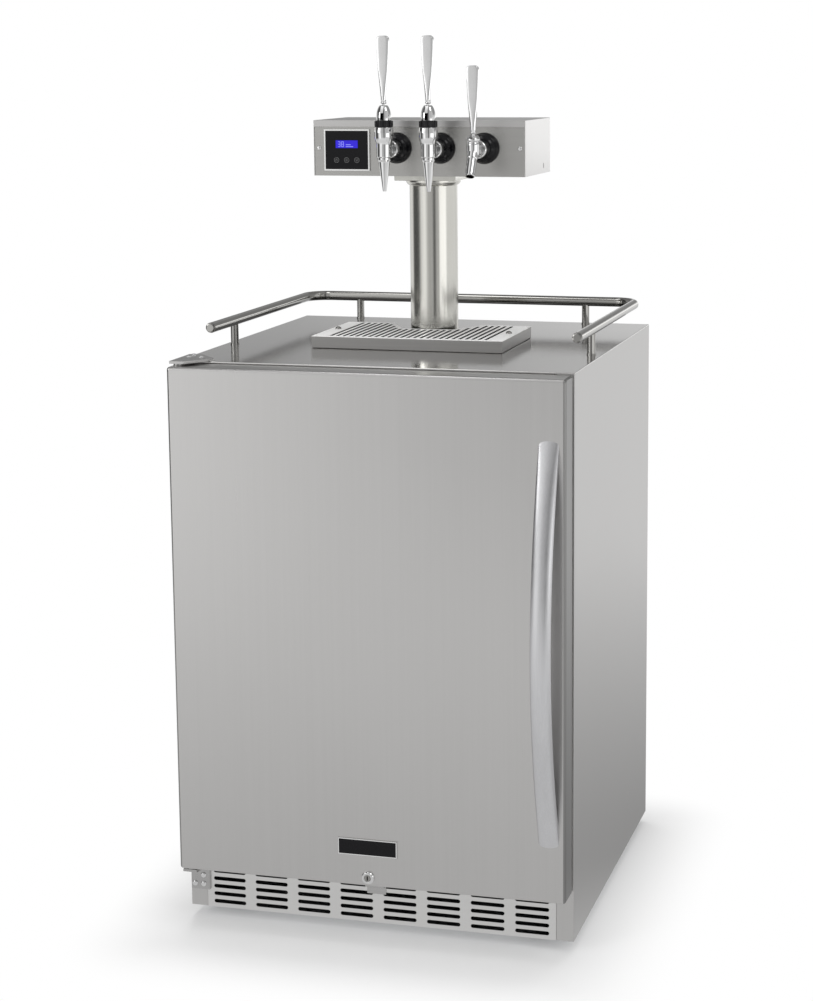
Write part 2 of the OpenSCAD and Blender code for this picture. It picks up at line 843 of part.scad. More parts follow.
// The tray's outline, moved inwards by a distance
function tray_outline(i) =
    let (c = i * sqrt(1 + notch_tan * notch_tan), x = tray_w / 2 - i,
        xb = notch_x + (tray_y1 - i - notch_y) * notch_tan + c,
        xf = notch_x - i * notch_tan + c)
    [[-x, tray_y0 + i], [x, tray_y0 + i], [x, tray_y1 - i], [xb, tray_y1 - i],
        [xf, notch_y - i], [-xf, notch_y - i], [-xb, tray_y1 - i], [-x, tray_y1 - i]];

// Where a slot at x ends, in front of the cut-out or of the back edge
function grate_slot_end(x) =
    abs(x) < notch_x + grate_margin ? notch_y - grate_margin
        : min(tray_y1 - grate_margin, notch_y + (abs(x) - notch_x - grate_margin) / notch_tan);

module drip_tray() {
    color("silver") place() difference() {
        translate([0, 0, cab_h]) linear_extrude(tray_h) polygon(tray_outline(0));
        translate([0, 0, cab_h + tray_wall]) linear_extrude(tray_h)
            polygon(tray_outline(tray_wall + tray_ledge));
        translate([0, 0, tray_top - grate_t - grate_seat]) linear_extrude(tray_h)
            polygon(tray_outline(tray_wall));
    }
}

module drip_grate() {
    slots = floor((tray_w / 2 - grate_end) / grate_pitch);
    y0 = tray_y0 + grate_margin;
    color("silver") place() {
        translate([0, 0, tray_top - grate_t]) linear_extrude(grate_t) difference() {
            polygon(tray_outline(tray_wall + grate_clear));
            for (i = [-slots : slots]) {
                y1 = grate_slot_end(i * grate_pitch);
                translate([i * grate_pitch, (y0 + y1) / 2]) rotate(90)
                    slot_2d(y1 - y0, grate_slot);
            }
        }
        for (s = [-1, 1])
            translate([s * (tray_w / 2 - knob_in), (tray_y0 + tray_y1) / 2, tray_top])
                rotate_extrude() polygon([[0, 0], [knob_dia / 2, 0], [knob_dia / 2 - 0.4, 1.6],
                    [knob_dia / 2 - 1.6, 3], [knob_dia / 2 - 3.4, 3.8], [0, 4]]);
    }
}

// Tower

head_in = head_w / 2 - sheet_t;
head_flange = 15;
plate_back = plate_y + sheet_t;

module tower_column() {
    color("silver") place() difference() {
        rod_z([0, col_y, cab_h], col_dia, col_h);
        rod_z([0, col_y, cab_h - 1], col_dia - 2 * col_wall, col_h + 2);
    }
}

module column_top_plate() {
    r = col_plate / 2;
    color("silver") place() difference() {
        box([-r, col_y - r, cab_h + col_h], [r, col_y + r, head_z]);
        rod_z([0, col_y, cab_h + col_h - 1], throat_dia, col_plate_t + 2);
    }
}

module tower_base() {
    color("silver") place() difference() {
        union() {
            box([-head_in, plate_back, head_z], [head_in, head_y1, head_z + sheet_t]);
            box([-head_in, head_y1 - sheet_t, head_z], [head_in, head_y1, head_top - sheet_t]);
            for (x = [-head_in, head_in - head_flange])
                box([x, plate_back, head_z], [x + head_flange, plate_back + sheet_t, head_top - sheet_t]);
        }
        rod_z([0, col_y, head_z - 1], throat_dia, 4);
        head_screw_holes();
    }
}

module head_screw_holes() {
    for (s = [-1, 1])
        rod_y([s * head_screw_x, plate_y - 1, head_screw_z], head_screw_dia + 0.3, 3 * sheet_t + 2);
}

module tower_front_plate() {
    w = disp_w / 2 - disp_rim + disp_clear;
    h = disp_h / 2 - disp_rim + disp_clear;
    color("silver") place() difference() {
        box([-head_in, plate_y, head_z], [head_in, plate_back, head_top - sheet_t]);
        for (x = taps_x)
            rod_y([x, plate_y - 1, tap_zc], shank_dia + 2 * shank_clear, sheet_t + 2);
        box([disp_x - w, plate_y - 1, disp_zc - h], [disp_x + w, plate_back + 1, disp_zc + h]);
        head_screw_holes();
    }
}

module tower_cover() {
    color("silver") place() {
        box([-head_w / 2, head_y0, head_top - sheet_t], [head_w / 2, head_y1, head_top]);
        for (x = [-head_w / 2, head_in])
            box([x, head_y0, head_z], [x + sheet_t, head_y1, head_top - sheet_t]);
        box([-head_in, head_y0, head_top - head_lip], [head_in, plate_y, head_top - sheet_t]);
    }
}

// Display

disp_zc = head_z + disp_z;
disp_rim = 4;
disp_clear = 0.2;
disp_front = plate_y - disp_proud;
lcd_t = 1.2;
key_in = 4;
key_proud = 0.8;

module display_housing() {
    w = disp_w / 2;
    h = disp_h / 2;
    color([0.05, 0.05, 0.06]) place() difference() {
        union() {
            box([disp_x - w, disp_front, disp_zc - h], [disp_x + w, plate_y, disp_zc + h]);
            box([disp_x - w + disp_rim, plate_y, disp_zc - h + disp_rim],
                [disp_x + w - disp_rim, plate_y + disp_depth, disp_zc + h - disp_rim]);
        }
        box([disp_x - lcd_w / 2, disp_front - 1, lcd_z - lcd_h / 2],
            [disp_x + lcd_w / 2, disp_front + lcd_t, lcd_z + lcd_h / 2]);
        for (i = [-1 : 1])
            rod_y([disp_x + i * key_pitch, disp_front - 1, key_z], key_dia + 2 * key_clear,
                1 + key_in + key_travel + 0.3);
    }
}

module display_window() {
    c = key_clear;
    color([0.1, 0.1, 0.9]) place()
        box([disp_x - lcd_w / 2 + c, disp_front, lcd_z - lcd_h / 2 + c],
            [disp_x + lcd_w / 2 - c, disp_front + lcd_t, lcd_z + lcd_h / 2 - c]);
}

module key(i) {
    color([0.1, 0.1, 0.11]) place()
        turned_y([disp_x + i * key_pitch, disp_front - key_proud, key_z], [[0, 0],
            [key_dia / 2 - 0.5, 0], [key_dia / 2, 0.5], [key_dia / 2, key_in + key_proud],
            [0, key_in + key_proud]]);
}

module key_left() {
    key(-1);
}

module key_middle() {
    key(0);
}

module key_right() {
    key(1);
}

// Taps

taps_x = [for (i = [0 : 2]) tap_x0 + i * tap_pitch];
stouts_x = [taps_x[0], taps_x[1]];
std_x = taps_x[2];
nut_dia = 36;
nut_t = 9;
barb_dia = 12;
barb_l = 20;
stub_t = 4;
spout_lean = 25;
spout_l = 47;
spout_dia = 15;
std_dia = 20;
std_bore = 10;
slot_side = 0.3;

module shank_flanges() {
    r0 = collar_dia / 2 + 1;
    r1 = flange_dia / 2;
    bore = shank_dia / 2 + shank_clear;
    color([0.06, 0.06, 0.06]) place() for (x = taps_x)
        turned_y([x, flange_y, tap_zc], concat([[bore, 0]],
            [for (a = [0 : 10 : 90]) [r0 + (r1 - r0) * sin(a), (flange_t - 3) * (1 - cos(a))]],
            [[r1, flange_t], [bore, flange_t]]));
}

module shanks() {
    tail = plate_back + shank_tail;
    color("silver") place() for (x = taps_x)
        difference() {
            union() {
                rod_y([x, stub_y, tap_zc], shank_dia, tail - stub_y);
                for (i = [0 : 3])
                    turned_y([x, tail + i * barb_l / 4, tap_zc], [[0, 0], [barb_dia / 2, 0],
                        [barb_dia / 2 - 1.2, barb_l / 4], [0, barb_l / 4]]);
            }
            rod_y([x, stub_y - 1, tap_zc], shank_bore, tail + barb_l - stub_y + 2);
        }
}

module shank_nuts() {
    bore = shank_dia / 2 + shank_clear;
    neck = stub_dia / 2 + shank_clear;
    lip = stub_y - stub_t - collar_y - 0.1;
    color("silver") place() for (x = taps_x) {
        turned_y([x, collar_y, tap_zc], [[neck, 0], [collar_dia / 2 - 1.5, 0], [collar_dia / 2, 1.5],
            [collar_dia / 2, collar_l], [bore, collar_l], [bore, lip], [neck, lip]]);
        difference() {
            translate([x, plate_back, tap_zc]) rotate([-90, 0, 0])
                cylinder(d = nut_dia, h = nut_t, $fn = 6);
            rod_y([x, plate_back - 1, tap_zc], 2 * bore, nut_t + 2);
        }
    }
}

// The tap's inlet, from its axis back to the shank
module tap_stub() {
    rod_y([0, 0, 0], stub_dia, stub_y - stub_t - tap_y);
    rod_y([0, stub_y - stub_t - tap_y - eps, 0], shank_dia, stub_t + eps);
}

module stout_bodies() {
    r = stout_dia / 2;
    b = stout_bulge / 2;
    color("silver") place() for (x = stouts_x)
        translate([x, tap_y, tap_zc]) difference() {
            union() {
                rotate_extrude() polygon([[0, stout_low], [r - 1, stout_low], [r, stout_low + 1],
                    [r, stout_mid - 2], [b - 1, stout_mid + 2], [b, stout_mid + 4],
                    [b, stout_high - 3], [b - 1.2, stout_high], [0, stout_high]]);
                tap_stub();
            }
            rod_z([0, 0, stout_low - 1], stout_bore, stout_high - stout_low + 2);
            rod_y([0, 0, 0], shank_bore, stub_y - tap_y + 1);
        }
}

module stout_nozzles() {
    tip = stout_low - nozzle_l;
    top = stout_dia / 2 - 1;
    color("silver") place() for (x = stouts_x)
        translate([x, tap_y, tap_zc]) rotate_extrude()
            polygon([[nozzle_tip / 2 - 1.2, tip], [nozzle_tip / 2, tip], [top - 1.5, stout_low - 5],
                [top, stout_low - 4], [top, stout_low], [stout_bore / 2, stout_low],
                [stout_bore / 2, stout_low - 5], [nozzle_tip / 2 - 1.2, tip + 8]]);
}

module stout_lock_rings() {
    b = stout_bulge / 2 - 0.3;
    color([0.05, 0.05, 0.05]) place() for (x = stouts_x)
        translate([x, tap_y, tap_zc]) rotate_extrude()
            polygon([[stout_bore / 2, stout_high], [b - 1, stout_high], [b, stout_high + 1],
                [b, ring_high - 1], [b - 1, ring_high], [stout_bore / 2, ring_high]]);
}

// The room a lever needs to lean forward about its ball
module lever_room(pivot, top) {
    w = neck_dia / 2 + slot_side;
    translate([0, 0, pivot]) sphere(d = ball_dia + 2 * ball_clear);
    box([-w, -stout_bulge, pivot - 1], [w, 0, top + 1]);
    rod_z([0, 0, pivot], 2 * w, top + 1 - pivot);
}

module tap_bonnets() {
    r = stout_dia / 2;
    tall = dome_high - ring_high - 4;
    color("silver") place() {
        for (x = stouts_x)
            translate([x, tap_y, tap_zc]) difference() {
                rotate_extrude() polygon(concat([[0, ring_high], [r, ring_high]],
                    [for (a = [0 : 10 : 60]) [r * cos(a), ring_high + 4 + tall * sin(a) / sin(60)]],
                    [[0, dome_high]]));
                rod_z([0, 0, ring_high - 1], ball_dia + 2 * ball_clear, stout_pivot - ring_high + 1);
                lever_room(stout_pivot, dome_high);
            }
        translate([std_x, tap_y, tap_zc]) difference() {
            rotate_extrude() polygon([[0, std_high], [std_dia / 2 + 1, std_high],
                [std_dia / 2 + 1, std_high + 4], [std_dia / 2 - 2, std_bonnet_high], [0, std_bonnet_high]]);
            lever_room(std_pivot, std_bonnet_high);
        }
    }
}

module standard_body() {
    r = std_dia / 2;
    color("silver") place() translate([std_x, tap_y, tap_zc]) difference() {
        union() {
            rotate_extrude() polygon([[0, std_low], [r - 4, std_low], [r - 1, std_low + 2],
                [r, std_low + 5], [r, std_high], [0, std_high]]);
            tap_stub();
            rotate([180 - spout_lean, 0, 0]) cylinder(d1 = spout_dia + 2, d2 = spout_dia, h = spout_l);
        }
        rotate([180 - spout_lean, 0, 0]) cylinder(d = spout_dia - 4, h = spout_l + 1);
        rod_y([0, 0, 0], std_bore, stub_y - tap_y + 1);
        rod_z([0, 0, std_pivot], ball_dia + 2 * ball_clear, std_high);
        lever_room(std_pivot, std_high);
    }
}

ferrule_dia = 9;
ferrule_l = 6;
ferrule_up = 2;
paddle_root = 8.4;

// A lever with its ball, neck, ferrule and paddle handle, over a bonnet of the given top
module lever(x, pivot, top) {
    w = paddle_w / 2;
    p = paddle_root / 2;
    ferrule = top + ferrule_up;
    color("silver") place() translate([x, tap_y, tap_zc]) {
        translate([0, 0, pivot]) sphere(d = ball_dia);
        rod_z([0, 0, pivot], neck_dia, ferrule + ferrule_l - pivot);
        rod_z([0, 0, ferrule], ferrule_dia, ferrule_l);
        translate([0, paddle_t / 2, ferrule + ferrule_l]) rotate([90, 0, 0]) linear_extrude(paddle_t)
            polygon([[-p, 0], [p, 0], [w, paddle_l - 5], [w - 1.2, paddle_l - 1.6], [w - 5, paddle_l],
                [5 - w, paddle_l], [1.2 - w, paddle_l - 1.6], [-w, paddle_l - 5]]);
    }
}

module lever_left() {
    lever(taps_x[0], stout_pivot, dome_high);
}

module lever_middle() {
    lever(taps_x[1], stout_pivot, dome_high);
}

module lever_right() {
    lever(std_x, std_pivot, std_bonnet_high);
}

plunger_rod = 5;
seal_t = 6;

module stout_plunger(x) {
    rod_top = stout_pivot - ball_dia / 2 - stout_lift - 0.5;
    color("gray") place() translate([x, tap_y, tap_zc]) {
        rod_z([0, 0, stout_low + 2], plunger_rod, rod_top - stout_low - 2);
        rod_z([0, 0, stout_low + 1], stout_bore - 2 * ball_clear, seal_t);
    }
}

module plunger_left() {
    stout_plunger(taps_x[0]);
}

module plunger_middle() {
    stout_plunger(taps_x[1]);
}

module plunger_right() {
    end = stub_y - tap_y - std_stroke - 3;
    color("gray") place() translate([std_x, tap_y, tap_zc]) {
        rod_y([0, end - 22, 0], plunger_rod - 1, 22);
        rod_y([0, end - 8, 0], std_bore - 2 * ball_clear, seal_t);
    }
}

// Door

core_y = door_y1 - liner_t;
skin_x = door_w / 2 - sheet_t;
skin_z0 = door_z0 + sheet_t;
skin_z1 = door_z1 - sheet_t;
bush_l = pin_l + 4;
fit_gap = 0.1;

module bush_at() {
    translate([pin_x, pin_y, door_z0]) children();
    translate([pin_x, pin_y, door_z1]) mirror([0, 0, 1]) children();
}

module door_holes() {
    rod_y([0, door_y0 - 1, lock_z], lock_dia + 2 * fit_gap, door_t + 2);
    bush_at() translate([0, 0, -1]) cylinder(d = bush_dia + 2 * fit_gap, h = bush_l + 1 + fit_gap);
}

module door_skin() {
    color("lightgray") place() difference() {
        box([-door_w / 2, door_y0, door_z0], [door_w / 2, door_y1, door_z1]);
        box([-skin_x, door_y0 + sheet_t, skin_z0], [skin_x, door_y1 + 1, skin_z1]);
        door_holes();
    }
}

module door_core() {
    color("khaki") place() difference() {
        box([-skin_x, door_y0 + sheet_t, skin_z0], [skin_x, core_y, skin_z1]);
        door_holes();
    }
}

module door_liner() {
    color("white") place() difference() {
        box([-skin_x, core_y, skin_z0], [skin_x, door_y1, skin_z1]);
        door_holes();
    }
}

module frame_y(x, z0, z1, wide, y0, y1) {
    difference() {
        box([-x, y0, z0], [x, y1, z1]);
        box([wide - x, y0 - 1, z0 + wide], [x - wide, y1 + 1, z1 - wide]);
    }
}

module door_gasket() {
    step = 2.5;
    color([0.75, 0.75, 0.75]) place() {
        frame_y(gasket_x, gasket_z0, gasket_z1, gasket_w, door_y1, door_y1 + step);
        frame_y(gasket_x - step, gasket_z0 + step, gasket_z1 - step, gasket_w - 2 * step,
            door_y1 + step, -gasket_clear);
    }
}

module door_handle() {
    half = asin(handle_l / 2 / handle_r) + 2;
    crown = 7;
    w = handle_w / 2;
    color("silver") place() difference() {
        translate([handle_x, door_y0 - handle_bow + handle_r, handle_z0 + handle_l / 2])
            rotate([0, 90, 0]) rotate([0, 0, -90 - half]) rotate_extrude(angle = 2 * half, $fn = 128)
                polygon(concat([[handle_r - handle_t, -w]],
                    [for (a = [-90 : 15 : 90]) [handle_r - crown * (1 - cos(a)), w * sin(a)]],
                    [[handle_r - handle_t, w]]));
        box([0, door_y0, 0], [cab_w, 0, cab_h]);
    }
}

badge_t = 2;
badge_rim = 2;

module badge_plate() {
    color("black") place() difference() {
        box([-badge_w / 2, door_y0 - badge_t, badge_z - badge_h / 2],
            [badge_w / 2, door_y0, badge_z + badge_h / 2]);
        box([badge_rim - badge_w / 2, door_y0 - badge_t - 1, badge_z - badge_h / 2 + badge_rim],
            [badge_w / 2 - badge_rim, door_y0 - badge_t + 0.6, badge_z + badge_h / 2 - badge_rim]);
    }
}

module hinge_bushes() {
    color("white") place() bush_at() difference() {
        cylinder(d = bush_dia, h = bush_l);
        translate([0, 0, -1]) cylinder(d = pin_dia + 2 * pin_clear, h = pin_l + 2);
    }
}

lock_proud = 4;
cam_t = 2;
cam_w = 9;
cam_y = door_y1 + 1.5;

module lock_housing() {
    color("silver") place() difference() {
        union() {
            turned_y([0, door_y0 - lock_proud, lock_z], [[0, 0], [lock_rim_dia / 2 - 1.5, 0],
                [lock_rim_dia / 2, 2], [lock_rim_dia / 2, lock_proud], [0, lock_proud]]);
            rod_y([0, door_y0 - eps, lock_z], lock_dia, door_t + eps);
        }
        rod_y([0, door_y0 - lock_proud - 1, lock_z], lock_core_dia + 2 * lock_clear,
            door_t + lock_proud + 2);
    }
}

module lock_cylinder() {
    front = door_y0 - lock_proud;
    color("gray") place() {
        difference() {
            rod_y([0, front, lock_z], lock_core_dia, cam_y + cam_t - front);
            box([-0.9, front - 1, lock_z - 3.4], [0.9, front + 3, lock_z + 3.4]);
        }
        rod_y([0, cam_y, lock_z], lock_core_dia + 4, cam_t);
        box([0, cam_y, lock_z - cam_w / 2], [cam_l, cam_y + cam_t, lock_z + cam_w / 2]);
    }
}

side_panel_left();
side_panel_right();
top_panel();
back_panel();
base_pan();
compartment_panel();
cabinet_insulation();
inner_liner();
vent_grille();
leveling_feet();
bottom_hinge_bracket();
top_hinge_bracket();
lock_catch();
screws();
mains_inlet();
compressor();
condenser_coil();
condenser_fan_frame();
condenser_fan();
evaporator_coil();
evaporator_cover();
evaporator_fan();
guard_rail();
rail_fittings();
drip_tray();
drip_grate();
tower_column();
column_top_plate();
tower_base();
tower_front_plate();
tower_cover();
display_housing();
display_window();
key_left();
key_middle();
key_right();
shank_flanges();
shanks();
shank_nuts();
stout_bodies();
stout_nozzles();
stout_lock_rings();
tap_bonnets();
standard_body();
lever_left();
lever_middle();
lever_right();
plunger_left();
plunger_middle();
plunger_right();
door_skin();
door_core();
door_liner();
door_gasket();
door_handle();
badge_plate();
hinge_bushes();
lock_housing();
lock_cylinder();
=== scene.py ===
"""Cold brew coffee dispenser: a brushed steel keg cooler with a three-tap tower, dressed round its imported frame."""

import math

import bmesh
import bpy
from mathutils import Matrix, Vector


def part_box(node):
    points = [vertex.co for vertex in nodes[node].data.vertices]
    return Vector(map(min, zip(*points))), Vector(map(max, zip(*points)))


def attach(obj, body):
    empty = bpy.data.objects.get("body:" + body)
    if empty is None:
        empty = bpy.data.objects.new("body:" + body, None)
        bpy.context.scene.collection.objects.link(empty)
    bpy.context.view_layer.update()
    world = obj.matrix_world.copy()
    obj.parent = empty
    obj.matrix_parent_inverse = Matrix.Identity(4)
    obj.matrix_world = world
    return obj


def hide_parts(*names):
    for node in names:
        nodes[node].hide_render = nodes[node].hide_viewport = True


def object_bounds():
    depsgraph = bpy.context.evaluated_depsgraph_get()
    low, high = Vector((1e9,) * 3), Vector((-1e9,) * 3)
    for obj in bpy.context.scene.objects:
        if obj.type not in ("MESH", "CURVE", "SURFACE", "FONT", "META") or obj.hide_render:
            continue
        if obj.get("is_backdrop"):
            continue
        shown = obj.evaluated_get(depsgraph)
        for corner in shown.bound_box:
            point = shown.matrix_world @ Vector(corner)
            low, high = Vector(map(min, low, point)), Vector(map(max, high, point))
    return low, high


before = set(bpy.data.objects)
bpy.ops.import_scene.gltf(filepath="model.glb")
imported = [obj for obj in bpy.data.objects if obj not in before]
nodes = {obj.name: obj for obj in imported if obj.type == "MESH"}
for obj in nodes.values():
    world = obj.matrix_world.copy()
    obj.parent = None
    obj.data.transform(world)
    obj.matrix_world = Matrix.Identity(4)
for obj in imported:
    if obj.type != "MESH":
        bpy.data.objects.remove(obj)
cad_low, cad_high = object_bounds()
scene = bpy.context.scene


# Camera
# A long lens a little to the right of the cabinet and level with its top, looking slightly down.
# The shift moves the frame to where the picture was cropped.
def aim_camera(place, azimuth, pitch, roll):
    """Turns three angles and a place into the camera's matrix."""
    a, e, r = (math.radians(x) for x in (azimuth, pitch, roll))
    back = Vector((math.sin(a) * math.cos(e), -math.cos(a) * math.cos(e), math.sin(e)))
    side = Vector((math.cos(a), math.sin(a), 0))
    up = back.cross(side)
    right = side * math.cos(r) + up * math.sin(r)
    top = up * math.cos(r) - side * math.sin(r)
    turned = Matrix((right, top, back)).transposed().to_4x4()
    return Matrix.Translation(place) @ turned


def put_in_scene(name, data):
    """A new object in the scene."""
    item = bpy.data.objects.new(name, data)
    scene.collection.objects.link(item)
    return item


lens = bpy.data.cameras.new("camera")
lens.sensor_width = 36
lens.lens = 78.6
lens.shift_x = -0.0599
lens.shift_y = -0.0899
lens.clip_end = 60
camera = put_in_scene("camera", lens)
camera.matrix_world = aim_camera((0.952, -3.2445, 1.314), azimuth=15.06, pitch=9.19, roll=-0.36)
scene.camera = camera
scene.view_settings.view_transform = "Standard"


# Studio
# A pale floor, a white surround and soft lamps at the left, at the right, behind and above. The metal
# mirrors a white sweep with two black flags in it, as a studio sets round bright metal to draw its form.
def tree_of(owner):
    """The emptied node tree of a material or a world."""
    owner.use_nodes = True
    owner.node_tree.nodes.clear()
    return owner.node_tree


def add_node(tree, kind, *feeds, **settings):
    """One node with what goes into it.

    Feeds go into the inputs in their order, and settings to the attribute or the input of that name.
    Each is a value, a node for its first output, or a node and the name or number of an output."""
    item = tree.nodes.new(kind)
    for key in [key for key in settings if hasattr(item, key)]:
        setattr(item, key, settings.pop(key))
    named = [(key.replace("_", " "), value) for key, value in settings.items()]
    for key, value in [*enumerate(feeds), *named]:
        if isinstance(value, bpy.types.Node):
            value = (value, 0)
        if isinstance(value, tuple) and isinstance(value[0], bpy.types.Node):
            tree.links.new(value[0].outputs[value[1]], item.inputs[key])
        elif value is not None:
            item.inputs[key].default_value = value
    return item


def mix(tree, share, first, second):
    """A value between two others."""
    return add_node(tree, "ShaderNodeMix", share, None, first, second, data_type="FLOAT")


def remap(tree, value, low, high, to_low=0.0, to_high=1.0, **settings):
    """A value moved from one range to another."""
    return add_node(tree, "ShaderNodeMapRange", Value=value, From_Min=low, From_Max=high, To_Min=to_low,
                    To_Max=to_high, **settings)


def noise(tree, place, scale, detail):
    """Soft clouds of values round a half."""
    return add_node(tree, "ShaderNodeTexNoise", Vector=place, Scale=scale, Detail=detail)


def ramp(tree, share, *stops):
    """A row of colours, each at its share of the way."""
    item = add_node(tree, "ShaderNodeValToRGB", share)
    elements = item.color_ramp.elements
    while len(elements) < len(stops):
        elements.new(0.5)
    for element, (position, colour) in zip(elements, stops):
        element.position, element.color = position, (*colour, 1)
    return item


def new_group(name, gives, **takes):
    """An empty shader group with named sockets: it takes a place and some values, and gives values."""
    group = bpy.data.node_groups.new(name, "ShaderNodeTree")
    for label, value in {"Place": (0, 0, 0), **takes}.items():
        kind = "NodeSocketVector" if isinstance(value, tuple) else "NodeSocketFloat"
        group.interface.new_socket(label, in_out="INPUT", socket_type=kind).default_value = value
    for label in gives:
        group.interface.new_socket(label, in_out="OUTPUT", socket_type="NodeSocketFloat")
    return group, add_node(group, "NodeGroupInput")


def ray_kinds(tree):
    """The light path's node, and one that tells whether a ray is mirrored or refracted."""
    path = add_node(tree, "ShaderNodeLightPath")
    return path, add_node(tree, "ShaderNodeMath", (path, "Is Glossy Ray"), (path, "Is Transmission Ray"),
                          operation="MAXIMUM")


# Bearings run from the back by the left, the front (0) and the right to the back again.
BEARINGS = ((-180, 1.00), (-170, 1.14), (-160, 0.70), (-148, 0.64), (-132, 0.88), (-108, 0.95), (-96, 0.10),
            (-62, 0.10), (-48, 0.92), (-34, 1.22), (-25, 1.18), (-18, 0.76), (-12, 0.56), (4, 0.56), (9, 0.60),
            (14, 0.14), (22, 0.14), (27, 0.60), (74, 0.70), (86, 0.95), (140, 0.90), (165, 0.84), (180, 1.00))
sweep_levels, taken = new_group("sweep_levels", ("Level",))
parts = add_node(sweep_levels, "ShaderNodeSeparateXYZ", (taken, "Place"))
ahead = add_node(sweep_levels, "ShaderNodeMath", (parts, "Y"), -1.0, operation="MULTIPLY")
bearing = add_node(sweep_levels, "ShaderNodeMath", (parts, "X"), ahead, operation="ARCTAN2")
share = add_node(sweep_levels, "ShaderNodeMath", bearing, 1 / math.tau, 0.5, operation="MULTIPLY_ADD")
ring = ramp(sweep_levels, share, *((angle / 360 + 0.5, (grey, grey, grey)) for angle, grey in BEARINGS))
add_node(sweep_levels, "NodeGroupOutput", Level=ring)

WHITE, ROOM_LEVEL = (1, 1, 1, 1), 0.45
surround = bpy.data.worlds.new("surround")
scene.world = surround
tree = tree_of(surround)
path, mirrored = ray_kinds(tree)
way = add_node(tree, "ShaderNodeTexCoord")
parts = add_node(tree, "ShaderNodeSeparateXYZ", (way, "Object"))
levels = add_node(tree, "ShaderNodeGroup", node_tree=sweep_levels, Place=(way, "Object"))
# Above the horizon the room is dimmer: at once on the camera's side, and by and by behind the object.
front_dim = remap(tree, (parts, "Z"), -0.06, 0.04, 1.0, 0.85)
back_dim = remap(tree, (parts, "Z"), 0.02, 0.17, 1.0, 0.36)
dim = mix(tree, remap(tree, (parts, "Y"), -0.2, 0.2), front_dim, back_dim)
shown = add_node(tree, "ShaderNodeMath", levels, dim, operation="MULTIPLY")
unseen = mix(tree, mirrored, ROOM_LEVEL, shown)
level = mix(tree, (path, "Is Camera Ray"), unseen, 1.0)
add_node(tree, "ShaderNodeOutputWorld", add_node(tree, "ShaderNodeBackground", Color=WHITE, Strength=level))

FLOOR_RADIUS, FLOOR_DROP = 9, 0.0005
floor_mesh = bpy.data.meshes.new("floor")
sheet = bmesh.new()
bmesh.ops.create_circle(sheet, cap_ends=True, segments=96, radius=FLOOR_RADIUS)
sheet.to_mesh(floor_mesh)
sheet.free()
floor = put_in_scene("floor", floor_mesh)
floor.location.z = -FLOOR_DROP
floor_paint = bpy.data.materials.new("floor_paint")
tree = tree_of(floor_paint)
here = (add_node(tree, "ShaderNodeTexCoord"), "Object")
tone = ramp(tree, noise(tree, here, 3.0, 4.0), (0, (0.90, 0.90, 0.90)), (1, (0.94, 0.94, 0.94)))
skin = add_node(tree, "ShaderNodeBsdfDiffuse", Color=tone)
# Beyond the object's shadow the floor runs into the white surround: by its distance from the footprint.
either_side = add_node(tree, "ShaderNodeVectorMath", here, operation="ABSOLUTE")
outside = add_node(tree, "ShaderNodeVectorMath", either_side, (cad_high.x, cad_high.y, 0), operation="SUBTRACT")
beyond = add_node(tree, "ShaderNodeVectorMath", outside, (0, 0, 0), operation="MAXIMUM")
gap = add_node(tree, "ShaderNodeVectorMath", beyond, operation="LENGTH")
fade = remap(tree, (gap, "Value"), -0.05, 0.16, interpolation_type="SMOOTHSTEP")
path, mirrored = ray_kinds(tree)
seen = add_node(tree, "ShaderNodeMath", (path, "Is Camera Ray"), fade, operation="MULTIPLY")
cover = add_node(tree, "ShaderNodeMath", seen, mirrored, operation="MAXIMUM")
levels = add_node(tree, "ShaderNodeGroup", node_tree=sweep_levels, Place=here)
# The mirrored floor is plain and dimmer close by, most of all at the right, and takes the sweep's levels far off.
reach = (add_node(tree, "ShaderNodeVectorMath", here, operation="LENGTH"), "Value")
rightward = add_node(tree, "ShaderNodeVectorMath", here, (1, 0.7, 0), operation="DOT_PRODUCT")
close_left = remap(tree, reach, 0.7, 2.6, 0.64, 0.90)
close_right = remap(tree, reach, 0.5, 2.6, 0.40, 0.86)
close = mix(tree, remap(tree, (rightward, "Value"), 0.1, 0.45), close_left, close_right)
shown = mix(tree, remap(tree, reach, 2.2, 4.4), close, levels)
strength = mix(tree, (path, "Is Camera Ray"), shown, 1.0)
white = add_node(tree, "ShaderNodeEmission", Color=WHITE, Strength=strength)
add_node(tree, "ShaderNodeOutputMaterial", add_node(tree, "ShaderNodeMixShader", cover, skin, white))
floor_mesh.materials.append(floor_paint)
floor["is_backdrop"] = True


def add_lamp(name, place, target, size, power, mirrored=True):
    """A rectangular soft lamp at a place, turned to a target, that bright metal mirrors or not."""
    lamp = bpy.data.lights.new(name, "AREA")
    lamp.shape = "RECTANGLE"
    lamp.size, lamp.size_y = size
    lamp.energy = power
    item = put_in_scene(name, lamp)
    item.visible_camera = False
    item.visible_glossy = mirrored
    aim = (Vector(target) - Vector(place)).to_track_quat("-Z", "Y")
    item.matrix_world = Matrix.Translation(place) @ aim.to_matrix().to_4x4()


